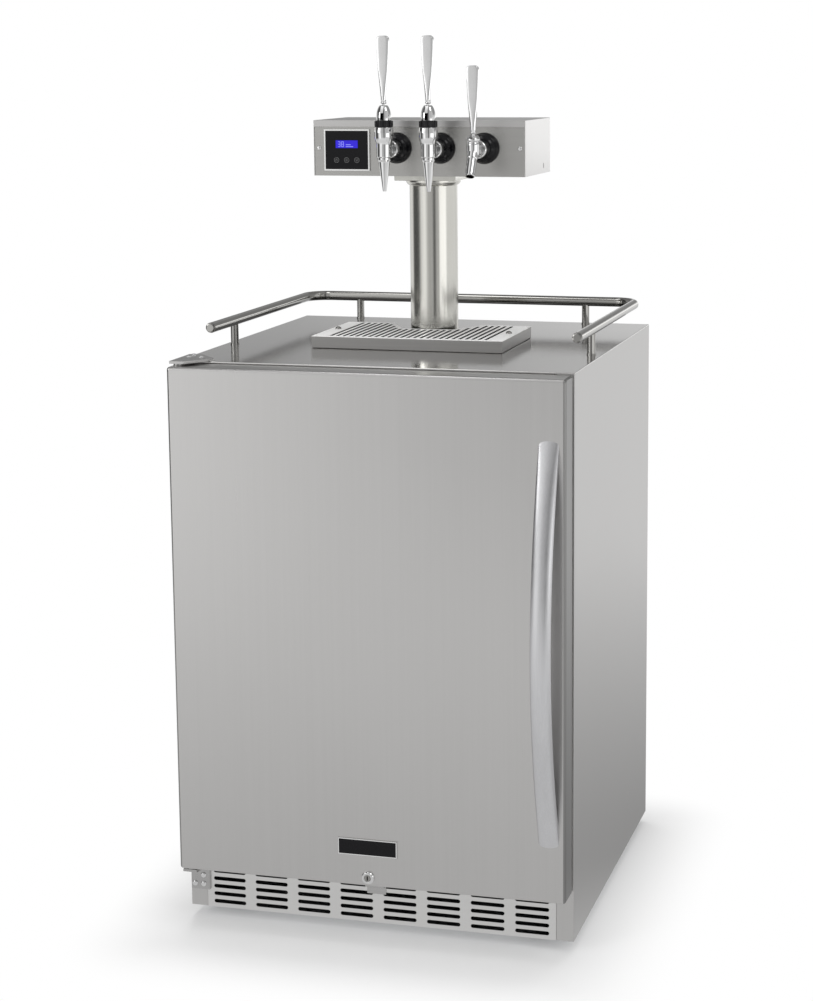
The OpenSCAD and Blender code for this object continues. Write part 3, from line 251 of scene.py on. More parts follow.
add_lamp("lamp_left", (-2.2, -3.4, 1.7), (0, 0, 0.7), (1.3, 1.9), 38, mirrored=False)
add_lamp("lamp_right", (2.8, -1.5, 1.7), (0, 0, 0.9), (0.9, 2.2), 30, mirrored=False)
add_lamp("lamp_back", (1.1, 3.4, 1.15), (0.1, 0, 1.1), (1.5, 0.4), 1.25)
add_lamp("lamp_top", (0.0, 0.4, 3.4), (0, 0, 0.8), (2.2, 2.0), 38, mirrored=False)
add_lamp("lamp_strip", (-0.65, -0.1, 3.3), (-0.3, 0, 0.8), (1.3, 0.5), 4.5)
add_lamp("lamp_edge", (-1.87, -1.57, 1.6), (0.27, -0.33, 0.8), (1.0, 0.8), 6)
add_lamp("lamp_high", (1.8, -0.9, 3.0), (0, -0.05, 1.2), (0.8, 1.0), 8)
add_lamp("lamp_low", (2.9, -1.6, 0.78), (0, 0.1, 0.9), (2.2, 0.75), 5)


# Side panels and top panel
# The cabinet's outer shell: three folded sheets of 1.2 mm stainless steel, brushed along the panel.
# Each return is bent in a press brake, so the outer corners are slightly round; hidden screws hold them.
def merged_copy(node):
    """A CAD node's mesh with its loose triangles joined into whole faces of one coat."""
    shell = bmesh.new()
    shell.from_mesh(nodes[node].data)
    bmesh.ops.remove_doubles(shell, verts=shell.verts, dist=2e-6)
    bmesh.ops.dissolve_limit(shell, angle_limit=math.radians(0.5), verts=shell.verts, edges=shell.edges)
    paint(shell, lambda face, spot: 0)
    return shell


def paint(shell, rule):
    """Gives each face the number of its coat, by a rule on the face and its middle."""
    for face in shell.faces:
        face.material_index = int(rule(face, face.calc_center_median()))


SHARP = math.radians(28)


def round_edges(shell, radius, pick=None, steps=2):
    """Rounds the sharp edges, or only those that pick chooses."""
    sharp = [e for e in shell.edges if len(e.link_faces) == 2
             and abs(e.calc_face_angle_signed(0)) > SHARP and (pick is None or pick(e))]
    bmesh.ops.bevel(shell, geom=sharp, offset=radius, offset_type="OFFSET", segments=steps,
                    profile=0.5, affect="EDGES", clamp_overlap=True)


def settle(piece):
    """Turns a piece with live modifiers into a plain mesh."""
    depsgraph = bpy.context.evaluated_depsgraph_get()
    mesh = bpy.data.meshes.new_from_object(piece.evaluated_get(depsgraph), depsgraph=depsgraph)
    piece.modifiers.clear()
    piece.data = mesh


CREASE = math.radians(35)


def make_piece(name, shell, finish, body, node):
    """A finished object from a shell of faces: shaded, painted, and carried by its body in a node's place.

    Where finish is a row of finishes, each face has the number of its own."""
    mesh = bpy.data.meshes.new(name)
    shell.to_mesh(mesh)
    shell.free()
    if not isinstance(finish, tuple):
        finish = (finish,)
        mesh.polygons.foreach_set("material_index", [0] * len(mesh.polygons))
    for coat in finish:
        mesh.materials.append(coat)
    mesh.shade_smooth()
    mesh.set_sharp_from_angle(angle=CREASE)
    piece = put_in_scene(name, mesh)
    flat = piece.modifiers.new("flat", "WEIGHTED_NORMAL")
    flat.keep_sharp = True
    flat.weight = 100
    settle(piece)
    piece.data.name = name
    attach(piece, body)
    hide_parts(node)


def finish_with(name, group, values, dark, light, metallic, bump, depth, span=(0.25, 0.75), **fixed):
    """A material whose tone, roughness and relief come from one of the surface groups."""
    finish = bpy.data.materials.new(name)
    tree = tree_of(finish)
    here = (add_node(tree, "ShaderNodeTexCoord"), "Object")
    surface = add_node(tree, "ShaderNodeGroup", node_tree=group, Place=here, **values)
    tone = ramp(tree, (surface, "Tone"), (span[0], dark), (span[1], light))
    relief = add_node(tree, "ShaderNodeBump", Strength=bump, Distance=depth, Height=(surface, "Height"))
    skin = add_node(tree, "ShaderNodeBsdfPrincipled", Metallic=metallic, Base_Color=tone,
                    Roughness=(surface, "Roughness"), Normal=relief, **fixed)
    add_node(tree, "ShaderNodeOutputMaterial", skin)
    return finish


# Brush lines: fine scratches drawn out along one direction, broader streaks between them, and a
# slow cloudiness from rolling and from hands.
SURFACE = ("Tone", "Roughness", "Height")
brush_lines, taken = new_group("brush_lines", SURFACE, Grain=(1, 1, 1), Streaks=0.5, Smooth=0.25, Rough=0.4)
drawn = add_node(brush_lines, "ShaderNodeVectorMath", (taken, "Place"), (taken, "Grain"), operation="MULTIPLY")
fine = noise(brush_lines, drawn, 1.0, 3.0)
broad = noise(brush_lines, drawn, 0.13, 2.0)
cloud = noise(brush_lines, (taken, "Place"), 5.0, 3.0)
lines = mix(brush_lines, (taken, "Streaks"), fine, broad)
hazed = mix(brush_lines, 0.35, lines, cloud)
matt = remap(brush_lines, hazed, 0.3, 0.7, (taken, "Smooth"), (taken, "Rough"))
add_node(brush_lines, "NodeGroupOutput", Tone=hazed, Roughness=matt, Height=fine)


def brushed_metal(name, dark, light, grain, smooth, rough, streaks=0.5, bump=0.004, metallic=1.0):
    """Metal with brush lines: two tones, the grain's scale on each axis, and a range of roughness."""
    values = {"Grain": grain, "Streaks": streaks, "Smooth": smooth, "Rough": rough}
    return finish_with(name, brush_lines, values, dark, light, metallic, bump, 0.0005, span=(0.3, 0.7))


STEEL_DARK, STEEL_LIGHT = (0.575, 0.568, 0.56), (0.605, 0.598, 0.59)
UPRIGHT, CROSSWISE, PANEL_FOLD = (900, 900, 5), (5, 900, 900), 0.0011
upright_steel = brushed_metal("upright_brushed_steel", STEEL_DARK, STEEL_LIGHT, UPRIGHT, 0.30, 0.35)
top_steel = brushed_metal("top_brushed_steel", (0.73, 0.72, 0.71), (0.76, 0.75, 0.74), CROSSWISE, 0.10, 0.14,
                          bump=0.002)


def outer_fold(low, high):
    """Picks the edges where two of a panel's outer faces meet."""
    def picked(edge):
        middle = (edge.verts[0].co + edge.verts[1].co) / 2
        return sum(min(abs(middle[i] - low[i]), abs(middle[i] - high[i])) < 1e-5 for i in range(3)) > 1
    return picked


for node, finish in (("side_panel_left", upright_steel), ("side_panel_right", upright_steel),
                     ("top_panel", top_steel)):
    shell = merged_copy(node)
    round_edges(shell, PANEL_FOLD, pick=outer_fold(*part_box(node)), steps=3)
    make_piece(node + "_folded", shell, finish, "cabinet", node)


# Back panel, base pan and compartment panel
# Plain galvanised sheet that nobody is meant to look at: pressed, punched with vents and screwed on.
# The zinc shows as large grey crystals with slightly different tones.
def dress(node, name, finish, edge, steps=2, body="cabinet"):
    """A piece with a node's own shape and soft edges."""
    shell = merged_copy(node)
    round_edges(shell, edge, steps=steps)
    make_piece(name, shell, finish, body, node)


zinc_spangle, taken = new_group("zinc_spangle", SURFACE, Crystals=90.0)
warp = noise(zinc_spangle, (taken, "Place"), 40.0, 2.0)
bent = add_node(zinc_spangle, "ShaderNodeMix", 0.015, None, None, None, (taken, "Place"), (warp, "Color"),
                data_type="VECTOR")
crystal = add_node(zinc_spangle, "ShaderNodeTexVoronoi", Vector=(bent, 1), Scale=(taken, "Crystals"))
split = add_node(zinc_spangle, "ShaderNodeSeparateColor", (crystal, "Color"))
stain = noise(zinc_spangle, (taken, "Place"), 7.0, 4.0)
matt = remap(zinc_spangle, (split, 1), 0.0, 1.0, 0.34, 0.55)
add_node(zinc_spangle, "NodeGroupOutput", Tone=mix(zinc_spangle, 0.4, split, stain), Roughness=matt,
         Height=(crystal, "Distance"))
galvanised = finish_with("galvanised_sheet", zinc_spangle, {"Crystals": 130.0}, (0.45, 0.46, 0.47),
                         (0.55, 0.56, 0.57), 1.0, 0.05, 0.0004)
for node in ("back_panel", "base_pan", "compartment_panel"):
    dress(node, node + "_sheet", galvanised, edge=0.0004)


# Insulation
# Rigid foam that is blown between the shell and the liner and fills every corner. It is open to view
# only where the line hole passes through it.
def coat_node(node, finish):
    """Gives a CAD node, whose own shape stays, a better finish."""
    nodes[node].data.materials.clear()
    nodes[node].data.materials.append(finish)


fine_cells, taken = new_group("fine_cells", SURFACE, Cells=700.0, Smooth=0.7, Rough=0.95)
cell = add_node(fine_cells, "ShaderNodeTexVoronoi", Vector=(taken, "Place"), Scale=(taken, "Cells"))
patch = noise(fine_cells, (taken, "Place"), 9.0, 4.0)
matt = remap(fine_cells, patch, 0.3, 0.7, (taken, "Smooth"), (taken, "Rough"))
add_node(fine_cells, "NodeGroupOutput", Tone=mix(fine_cells, 0.6, cell, patch), Roughness=matt, Height=cell)
foam = finish_with("blown_foam", fine_cells, {"Cells": 420.0}, (0.66, 0.56, 0.33), (0.80, 0.71, 0.46),
                   0.0, 0.5, 0.001)
coat_node("cabinet_insulation", foam)

# Inner liner
# One vacuum-formed tub of white plastic with a step over the compressor. Its corners are drawn round,
# and the sheet keeps a faint pebble from the mould.
mould_grain, taken = new_group("mould_grain", SURFACE, Pebble=900.0, Smooth=0.3, Rough=0.45)
pebble = add_node(mould_grain, "ShaderNodeTexNoise", Vector=(taken, "Place"), Scale=(taken, "Pebble"), Detail=2.0)
flow = noise(mould_grain, (taken, "Place"), 6.0, 3.0)
matt = remap(mould_grain, flow, 0.3, 0.7, (taken, "Smooth"), (taken, "Rough"))
add_node(mould_grain, "NodeGroupOutput", Tone=flow, Roughness=matt, Height=pebble)


def moulded(name, dark, light, pebble, smooth, rough, bump, depth, **fixed):
    """Moulded plastic or rubber: two tones, the pebble's scale, and a range of roughness."""
    values = {"Pebble": pebble, "Smooth": smooth, "Rough": rough}
    return finish_with(name, mould_grain, values, dark, light, 0.0, bump, depth, **fixed)


white_plastic = moulded("white_liner_plastic", (0.80, 0.80, 0.79), (0.86, 0.86, 0.85), 700, 0.3, 0.45, 0.08, 0.0005)
dress("inner_liner", "inner_liner_tub", white_plastic, edge=0.0011, steps=3)

# Vent grille
# A stainless strip under the door, punched with rows of long slots for the compressor's air.
grille_steel = brushed_metal("grille_steel", (0.73, 0.725, 0.715), (0.77, 0.765, 0.755), CROSSWISE, 0.27, 0.34)
dress("vent_grille", "vent_grille_punched", grille_steel, edge=0.0003)

# Levelling feet
# Four moulded black pads on threaded stems, screwed up into the base pan.
black_rubber = moulded("foot_rubber", (0.018, 0.018, 0.018), (0.03, 0.03, 0.03), 1200, 0.55, 0.75, 0.25, 0.0006)
dress("leveling_feet", "leveling_feet_pads", black_rubber, edge=0.0009, steps=3)

# Hinge brackets and lock catch
# Thick stainless plates, cut and folded: one under the door with three screws and an arm for the
# lower pin, one on top for the upper pin, and the box that the lock's cam turns into.
hinge_steel = brushed_metal("hinge_steel", (0.46, 0.455, 0.45), (0.54, 0.535, 0.53), (5, 700, 700), 0.20, 0.28)
for node in ("bottom_hinge_bracket", "top_hinge_bracket", "lock_catch"):
    dress(node, node + "_plate", hinge_steel, edge=0.0005)

# Mains inlet
# A moulded black gland in the back panel for the mains lead.
black_plastic = moulded("black_plastic", (0.007, 0.007, 0.008), (0.013, 0.013, 0.014), 1500, 0.14, 0.26,
                        0.06, 0.0004, Specular_IOR_Level=0.28)
dress("mains_inlet", "mains_inlet_gland", black_plastic, edge=0.0006)

# Compressor
# A welded steel can in black enamel on rubber-mounted feet, with a terminal box on one side.
enamel = moulded("black_enamel", (0.012, 0.012, 0.012), (0.026, 0.026, 0.026), 160, 0.22, 0.42, 0.18, 0.0008)
dress("compressor", "compressor_can", enamel, edge=0.002, steps=3)

# Condenser and evaporator coils
# Copper hairpins pressed through a stack of thin aluminium fins.
fin_metal = brushed_metal("fin_aluminium", (0.50, 0.50, 0.51), (0.66, 0.66, 0.67), (40, 500, 500), 0.32, 0.5,
                          bump=0.02)
for node in ("condenser_coil", "evaporator_coil"):
    coat_node(node, fin_metal)

# Fans
# Moulded grey wheels on small motors: one blows through the condenser, one stirs the cold air.
fan_plastic = moulded("fan_plastic", (0.15, 0.15, 0.155), (0.2, 0.2, 0.205), 900, 0.4, 0.55, 0.1, 0.0005)
for node in ("condenser_fan", "evaporator_fan"):
    dress(node, node + "_wheel", fan_plastic, edge=0.0005, body=node)
dress("condenser_fan_frame", "condenser_fan_shroud", black_plastic, edge=0.0008)

# Evaporator cover
# A white moulded box on the back wall with a round fan guard and slots below it.
dress("evaporator_cover", "evaporator_cover_shell", white_plastic, edge=0.0010, steps=3)


# Guard rail and its posts
# A 16 mm stainless tube bent round three sides of the top and given a satin polish, on short posts
# with a collar at the foot. Domed caps close the two open ends.
polish_marks, taken = new_group("polish_marks", SURFACE, Haze=18.0, Smooth=0.05, Rough=0.14)
haze = add_node(polish_marks, "ShaderNodeTexNoise", Vector=(taken, "Place"), Scale=(taken, "Haze"), Detail=4.0)
matt = remap(polish_marks, haze, 0.35, 0.7, (taken, "Smooth"), (taken, "Rough"))
add_node(polish_marks, "NodeGroupOutput", Tone=haze, Roughness=matt,
         Height=noise(polish_marks, (taken, "Place"), 140.0, 1.0))


def polished(name, dark, light, haze, smooth, rough, bump, depth):
    """Polished or plated metal: two tones, the haze's scale, and a range of roughness."""
    values = {"Haze": haze, "Smooth": smooth, "Rough": rough}
    return finish_with(name, polish_marks, values, dark, light, 1.0, bump, depth)


def shade_by_height(finish, low, high, stops):
    """Paints shade into a finish's tone: multiplies it by values at shares of the way from a low to a high level."""
    tree = finish.node_tree
    skin = next(node for node in tree.nodes if node.bl_idname == "ShaderNodeBsdfPrincipled")
    tone = skin.inputs["Base Color"].links[0].from_node
    parts = add_node(tree, "ShaderNodeSeparateXYZ", (add_node(tree, "ShaderNodeTexCoord"), "Object"))
    levels = ramp(tree, remap(tree, (parts, "Z"), low, high), *((share, (v, v, v)) for share, v in stops))
    shaded = add_node(tree, "ShaderNodeMix", 1.0, *[None] * 5, tone, levels, data_type="RGBA", blend_type="MULTIPLY")
    tree.links.new(shaded.outputs[2], skin.inputs["Base Color"])


FLOAT = "NodeSocketFloat"


def new_shape(name, **takes):
    """An empty geometry tree: a base mesh and named sizes go in, and a mesh comes out."""
    tree = bpy.data.node_groups.new(name, "GeometryNodeTree")
    for label, kind in {"Base": "NodeSocketGeometry", **takes, "Finish": "NodeSocketMaterial"}.items():
        tree.interface.new_socket(label, in_out="INPUT", socket_type=kind)
    tree.interface.new_socket("Made", in_out="OUTPUT", socket_type="NodeSocketGeometry")
    return tree, add_node(tree, "NodeGroupInput")


def close_shape(tree, taken, made):
    """Ends a geometry tree in real faces with their finish."""
    real = add_node(tree, "GeometryNodeRealizeInstances", made)
    painted = add_node(tree, "GeometryNodeSetMaterial", Geometry=real, Material=(taken, "Finish"))
    add_node(tree, "NodeGroupOutput", painted)


def grown(tree, points, edges=(), facing=(), **sizes):
    """Runs a geometry tree on points and edges, and gives its plain result as a shell of faces."""
    base = bpy.data.meshes.new("base")
    base.from_pydata(points, edges, [])
    if facing:
        way = base.attributes.new("facing", "FLOAT_VECTOR", "POINT")
        way.data.foreach_set("vector", [part for side in facing for part in side])
    seed = put_in_scene("base", base)
    maker = seed.modifiers.new("maker", "NODES")
    maker.node_group = tree
    for item in tree.interface.items_tree:
        if item.in_out == "INPUT" and item.name in sizes:
            maker[item.identifier] = sizes[item.name]
    settle(seed)
    shell = bmesh.new()
    shell.from_mesh(seed.data)
    bpy.data.objects.remove(seed)
    bmesh.ops.remove_doubles(shell, verts=shell.verts, dist=1e-6)
    bmesh.ops.recalc_face_normals(shell, faces=shell.faces)
    return shell


bent_tube, taken = new_shape("bent_tube", Bend=FLOAT, Radius=FLOAT)
path = add_node(bent_tube, "GeometryNodeMeshToCurve", Mesh=(taken, "Base"))
bend = add_node(bent_tube, "GeometryNodeFilletCurve", mode="POLY", Count=18, Curve=path, Radius=(taken, "Bend"))
ring = add_node(bent_tube, "GeometryNodeCurvePrimitiveCircle", Resolution=40, Radius=(taken, "Radius"))
tube = add_node(bent_tube, "GeometryNodeCurveToMesh", Curve=bend, Profile_Curve=ring, Fill_Caps=True)
close_shape(bent_tube, taken, tube)

satin_tube = polished("satin_polished_tube", (0.33, 0.325, 0.31), (0.39, 0.385, 0.37), 12, 0.08, 0.15, 0.0, 0.0003)
rail_shaded_steel = polished("rail_tube_painted_shade", (0.92, 0.91, 0.87), (1.0, 0.985, 0.94), 12, 0.08, 0.15, 0.0, 0.0003)
low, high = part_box("guard_rail")
# The tube's tone is painted by height: painted shade on its lower third, a painted highlight from the middle up.
shade_by_height(rail_shaded_steel, low.z, high.z, ((0, 0.08), (0.33, 0.05), (0.52, 0.58), (0.68, 0.52), (0.85, 0.40)))
tube_radius = (high.z - low.z) / 2
left, right = low.x + tube_radius, high.x - tube_radius
front, rear, level = low.y, high.y - tube_radius, low.z + tube_radius
corners = [(left, front, level), (left, rear, level), (right, rear, level), (right, front, level)]
RAIL_BEND = 0.036
shell = grown(bent_tube, corners, [(0, 1), (1, 2), (2, 3)], Bend=RAIL_BEND, Radius=tube_radius, Finish=rail_shaded_steel)
make_piece("guard_rail_tube", shell, rail_shaded_steel, "cabinet", "guard_rail")
dress("rail_fittings", "rail_fittings_posts", satin_tube, edge=0.0006, steps=3)

# Drip tray
# A shallow folded and welded tray of brushed stainless, notched round the column. Its inside is painted
# dark as shade, and its rim takes the grate's bright finish as a painted highlight.
tray_steel = brushed_metal("tray_brushed_steel", (0.33, 0.325, 0.32), (0.40, 0.395, 0.385), (6, 700, 700),
                           0.28, 0.40, streaks=0.6, bump=0.006)
# A dark copy of the steel: painted shade in the tray and in the grate's slits.
painted_shade_steel = brushed_metal("tray_painted_shade_steel", (0.10, 0.098, 0.094), (0.16, 0.157, 0.15), (60, 60, 60), 0.30, 0.5)
grate_steel = brushed_metal("grate_brushed_steel", (0.92, 0.915, 0.905), (0.97, 0.965, 0.955), (700, 6, 700),
                            0.34, 0.46, streaks=0.6, bump=0.006, metallic=0.1)
TRAY_WALL, TRAY_FLOOR, TRAY_RIM, TRAY_FOLD = 0.0005, 0.0003, 0.0006, 0.0022
shell = merged_copy("drip_tray")
low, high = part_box("drip_tray")


def in_the_tray(face, spot):
    """Tells the tray's inner faces, which take painted shade."""
    within = all(low[i] + TRAY_WALL < spot[i] < high[i] - TRAY_WALL for i in (0, 1))
    return within and low.z + TRAY_FLOOR < spot.z < high.z - TRAY_FLOOR


# The tray's inner faces are painted dark as shade.
paint(shell, in_the_tray)
round_edges(shell, TRAY_FOLD, pick=lambda edge: max(v.co.z for v in edge.verts) < low.z + 1e-5, steps=4)
round_edges(shell, 0.0006, steps=3)
# The rim takes the grate's bright finish: a painted highlight along the top edge.
paint(shell, lambda face, spot: 2 if spot.z > high.z - TRAY_RIM else face.material_index)
make_piece("drip_tray_folded", shell, (tray_steel, painted_shade_steel, grate_steel), "cabinet", "drip_tray")

# Drip grate
# A loose stainless plate with long slits from front to back, and two small satin knobs riveted to it
# for lifting.
SLIT_PITCH, SLIT_HALF, SLIT_WIDER, SLIT_MARGIN, KNOB_HEIGHT = 0.0103, 0.0016, 1.45, 0.008, 0.004
shell = merged_copy("drip_grate")
low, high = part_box("drip_grate")
plate_top = high.z - KNOB_HEIGHT
for spot in (v.co for v in shell.verts):
    line = SLIT_PITCH * round(spot.x / SLIT_PITCH)
    in_field = low.y + SLIT_MARGIN < spot.y < high.y - SLIT_MARGIN and spot.z < plate_top + 1e-5
    if abs(spot.x - line) < SLIT_HALF + 1e-5 and in_field:
        spot.x = line + (spot.x - line) * SLIT_WIDER
round_edges(shell, 0.0004)
shell.normal_update()


def grate_coat(face, spot):
    """Knobs are satin, the walls of the slits are painted dark as shade, and the rest is the plate."""
    if spot.z > plate_top + 5e-5:
        return 1
    within = all(low[i] + 0.001 < spot[i] < high[i] - 0.001 for i in (0, 1))
    return 2 * (within and face.normal.z < 0.6)


# The slit walls are painted dark as shade.
paint(shell, grate_coat)
make_piece("drip_grate_slit", shell, (grate_steel, satin_tube, painted_shade_steel), "grate", "drip_grate")


# Tower column
# A 76 mm stainless tube, brushed up and down and then polished, welded to the plate under the head with
# a short weld collar.
def eased(*corners, steps=5):
    """A line through corners (radius, height, easing), each corner rounded over its easing."""
    line = []
    for i, (radius, height, ease) in enumerate(corners):
        corner = Vector((radius, height))
        if not ease:
            line.append(corner)
            continue
        before = Vector(corners[i - 1][:2]) - corner
        after = Vector(corners[(i + 1) % len(corners)][:2]) - corner
        start = corner + before.normalized() * min(ease, before.length * 0.49)
        end = corner + after.normalized() * min(ease, after.length * 0.49)
        for k in range(steps + 1):
            t = k / steps
            line.append(start * (1 - t) ** 2 + corner * (2 * t * (1 - t)) + end * t ** 2)
    return line


def turn(shell, line, centre, axis=(0, 0, 1), steps=56, hollow=False):
    """Adds a turned solid: a line of (radius, height) in millimetres swept round an axis."""
    axis = Vector(axis).normalized()
    side = axis.orthogonal().normalized()
    across = axis.cross(side)
    rings = []
    for radius, height in line:
        count = 1 if radius < 1e-6 else steps
        spots = [centre + (axis * height + (side * math.cos(math.tau * k / steps)
                                            + across * math.sin(math.tau * k / steps)) * radius) / 1000
                 for k in range(count)]
        rings.append([shell.verts.new(spot) for spot in spots])
    for lower, upper in zip(rings, rings[1:] + rings[:1] * hollow):
        for k in range(steps):
            loop = [lower[k % len(lower)], lower[(k + 1) % len(lower)],
                    upper[(k + 1) % len(upper)], upper[k % len(upper)]]
            loop = [v for i, v in enumerate(loop) if v not in loop[:i]]
            if len(loop) > 2:
                shell.faces.new(loop)
    bmesh.ops.recalc_face_normals(shell, faces=shell.faces)


column_steel = brushed_metal("column_steel", (0.58, 0.572, 0.535), (0.70, 0.692, 0.65), (700, 700, 4),
                             0.14, 0.24, streaks=0.45)
dress("tower_column", "tower_column_tube", column_steel, edge=0.0006, steps=3)
shell = merged_copy("column_top_plate")
round_edges(shell, 0.0012, steps=3)
tube_low, tube_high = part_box("tower_column")
plate_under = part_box("column_top_plate")[0].z
WELD_COLLAR = eased((37.9, 0.2, 0), (43.5, 0.2, 0), (43.5, -3.5, 0.8), (41, -7.5, 2), (37.9, -9, 0))
middle = (tube_low + tube_high) / 2
turn(shell, WELD_COLLAR, Vector((middle.x, middle.y, plate_under)), hollow=True)
make_piece("column_top_plate_cut", shell, column_steel, "cabinet", "column_top_plate")


# Tower head
# A folded stainless box in three pieces: a base on the column's plate, a front plate that carries the
# taps, and a cover whose lip closes over the front along the top. A small slot in its end takes a key.
def combined(shell, *others):
    """A shell with other shells joined to it or cut out of it, as one solid of one coat."""
    stock = []
    for part in (shell, *(other for _, other in others)):
        mesh = bpy.data.meshes.new("stock")
        part.to_mesh(mesh)
        part.free()
        stock.append(put_in_scene("stock", mesh))
    for (way, _), tool in zip(others, stock[1:]):
        cut = stock[0].modifiers.new(way, "BOOLEAN")
        cut.operation, cut.solver, cut.object = way, "EXACT", tool
    settle(stock[0])
    made = bmesh.new()
    made.from_mesh(stock[0].data)
    for item in stock:
        bpy.data.objects.remove(item)
    bmesh.ops.remove_doubles(made, verts=made.verts, dist=1e-6)
    paint(made, lambda face, spot: 0)
    return made


def bar(shell, low, high, coat=0):
    """Adds a box between two corners and gives its faces a coat's number."""
    spots = [shell.verts.new((x, y, z))
             for x in (low[0], high[0]) for y in (low[1], high[1]) for z in (low[2], high[2])]
    for loop in ((0, 1, 3, 2), (4, 6, 7, 5), (0, 4, 5, 1), (2, 3, 7, 6), (0, 2, 6, 4), (1, 5, 7, 3)):
        shell.faces.new([spots[i] for i in loop]).material_index = coat


head_steel = brushed_metal("head_front_steel", (0.44, 0.436, 0.42), (0.49, 0.485, 0.47), CROSSWISE, 0.22, 0.28)
crosswise_steel = brushed_metal("crosswise_brushed_steel", STEEL_DARK, STEEL_LIGHT, CROSSWISE, 0.27, 0.32)
HEAD_EDGE = 0.0004
dress("tower_base", "tower_base_folded", crosswise_steel, edge=HEAD_EDGE)
dress("tower_front_plate", "tower_front_plate_folded", head_steel, edge=HEAD_EDGE)
shell = merged_copy("tower_cover")
round_edges(shell, HEAD_EDGE)
low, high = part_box("tower_cover")
# How deep the slot is cut and how far the cutter stands out, and its range from the back and from below.
KEY_DEPTH, KEY_OVER, KEY_FROM_BACK, KEY_UP = 0.003, 0.002, (0.047, 0.044), (0.008, 0.016)
slot = bmesh.new()
bar(slot, (high.x - KEY_DEPTH, high.y - KEY_FROM_BACK[0], low.z + KEY_UP[0]),
    (high.x + KEY_OVER, high.y - KEY_FROM_BACK[1], low.z + KEY_UP[1]))
make_piece("tower_cover_folded", combined(shell, ("DIFFERENCE", slot)), crosswise_steel,
           "cabinet", "tower_cover")

# Display
# A moulded gloss black housing in a bright frame, let into the front plate, with a lit blue window
# that shows two digits and three keys marked with plain signs.
gloss_black = moulded("display_gloss_black", (0.004, 0.004, 0.005), (0.007, 0.007, 0.008), 1500, 0.08, 0.16,
                      0.02, 0.0003, Specular_IOR_Level=0.2)
bright_trim = polished("bright_trim", (0.92, 0.92, 0.91), (0.96, 0.96, 0.95), 30, 0.18, 0.26, 0.002, 0.0002)
TRIM = 0.0022
shell = merged_copy("display_housing")
low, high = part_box("display_housing")
plate_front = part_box("tower_front_plate")[0].y
round_edges(shell, 0.0006, steps=3)
for spot, way in (((low.x + TRIM, 0, 0), (1, 0, 0)), ((high.x - TRIM, 0, 0), (1, 0, 0)),
                  ((0, 0, low.z + TRIM), (0, 0, 1)), ((0, 0, high.z - TRIM), (0, 0, 1))):
    bmesh.ops.bisect_plane(shell, geom=shell.verts[:] + shell.edges[:] + shell.faces[:], plane_co=spot, plane_no=way)


def on_frame(face, spot):
    """Tells the faces of the bright frame round the housing's front."""
    inset = min(spot.x - low.x, high.x - spot.x, spot.z - low.z, high.z - spot.z)
    return inset < TRIM and spot.y < plate_front + 1e-4


paint(shell, on_frame)
make_piece("display_housing_shell", shell, (gloss_black, bright_trim), "cabinet", "display_housing")


def lit(name, dark, light, strength):
    """A glowing layer behind glass, a little uneven as a backlight is."""
    glow = bpy.data.materials.new(name)
    tree = tree_of(glow)
    dots = noise(tree, (add_node(tree, "ShaderNodeTexCoord"), "Object"), 120.0, 1.0)
    skin = add_node(tree, "ShaderNodeBsdfPrincipled", Roughness=0.12, Base_Color=(0.004, 0.003, 0.04, 1),
                    Emission_Color=ramp(tree, dots, (0, dark), (1, light)), Emission_Strength=strength)
    add_node(tree, "ShaderNodeOutputMaterial", skin)
    return glow


lit_blue = lit("lit_display", (0.012, 0.001, 0.60), (0.022, 0.004, 0.80), 0.9)
lit_digit = lit("lit_digits", (0.26, 0.28, 0.95), (0.34, 0.36, 1.0), 0.95)
# The seven strokes of a digit as (x, z) corners on a field one wide and two high.
STROKES = {"a": (0.1, 1.8, 0.9, 2.0), "b": (0.8, 1.05, 1.0, 1.9), "c": (0.8, 0.1, 1.0, 0.95),
           "d": (0.1, 0.0, 0.9, 0.2), "e": (0.0, 0.1, 0.2, 0.95), "f": (0.0, 1.05, 0.2, 1.9), "g": (0.1, 0.9, 0.9, 1.1)}
DIGIT_SIZE, DIGIT_LEFT, DIGIT_LOW, DIGIT_PITCH = 0.0042, 0.0035, 0.0017, 1.35
ROW_LEFT, ROW_HEIGHT, ROWS = 0.0165, 0.0011, ((0.0017, 0.012), (0.0046, 0.008))
LIT_RISE, LIT_SUNK = 0.00015, 0.0002
shell = merged_copy("display_window")
low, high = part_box("display_window")
lit_front, lit_back = low.y - LIT_RISE, low.y + LIT_SUNK
for place, strokes in enumerate(("abcdg", "abcdefg")):
    left, base = low.x + DIGIT_LEFT + place * DIGIT_SIZE * DIGIT_PITCH, low.z + DIGIT_LOW
    for x0, z0, x1, z1 in (STROKES[stroke] for stroke in strokes):
        bar(shell, (left + x0 * DIGIT_SIZE, lit_front, base + z0 * DIGIT_SIZE),
            (left + x1 * DIGIT_SIZE, lit_back, base + z1 * DIGIT_SIZE), 1)
for row, length in ROWS:
    bar(shell, (low.x + ROW_LEFT, lit_front, low.z + row),
        (low.x + ROW_LEFT + length, lit_back, low.z + row + ROW_HEIGHT), 1)
make_piece("display_window_lit", shell, (lit_blue, lit_digit), "cabinet", "display_window")


def bridge(shell, rings, coat=0):
    """Joins each ring of corners to the next by faces with a coat's number."""
    for lower, upper in zip(rings, rings[1:]):
        for k in range(len(lower)):
            n = (k + 1) % len(lower)
            shell.faces.new((lower[k], lower[n], upper[n], upper[k])).material_index = coat


key_rubber = moulded("key_rubber", (0.008, 0.008, 0.009), (0.014, 0.014, 0.015), 1800, 0.16, 0.26, 0.02, 0.0003)
key_print = moulded("key_print", (0.10, 0.10, 0.10), (0.14, 0.14, 0.14), 1800, 0.4, 0.5, 0.02, 0.0003)
RING_STEPS, RING_INNER, RING_OUTER, SIGN, SIGN_HALF = 40, 0.0037, 0.0042, 0.0017, 0.00025
INK_RISE, INK_SUNK = 0.00006, 0.0001
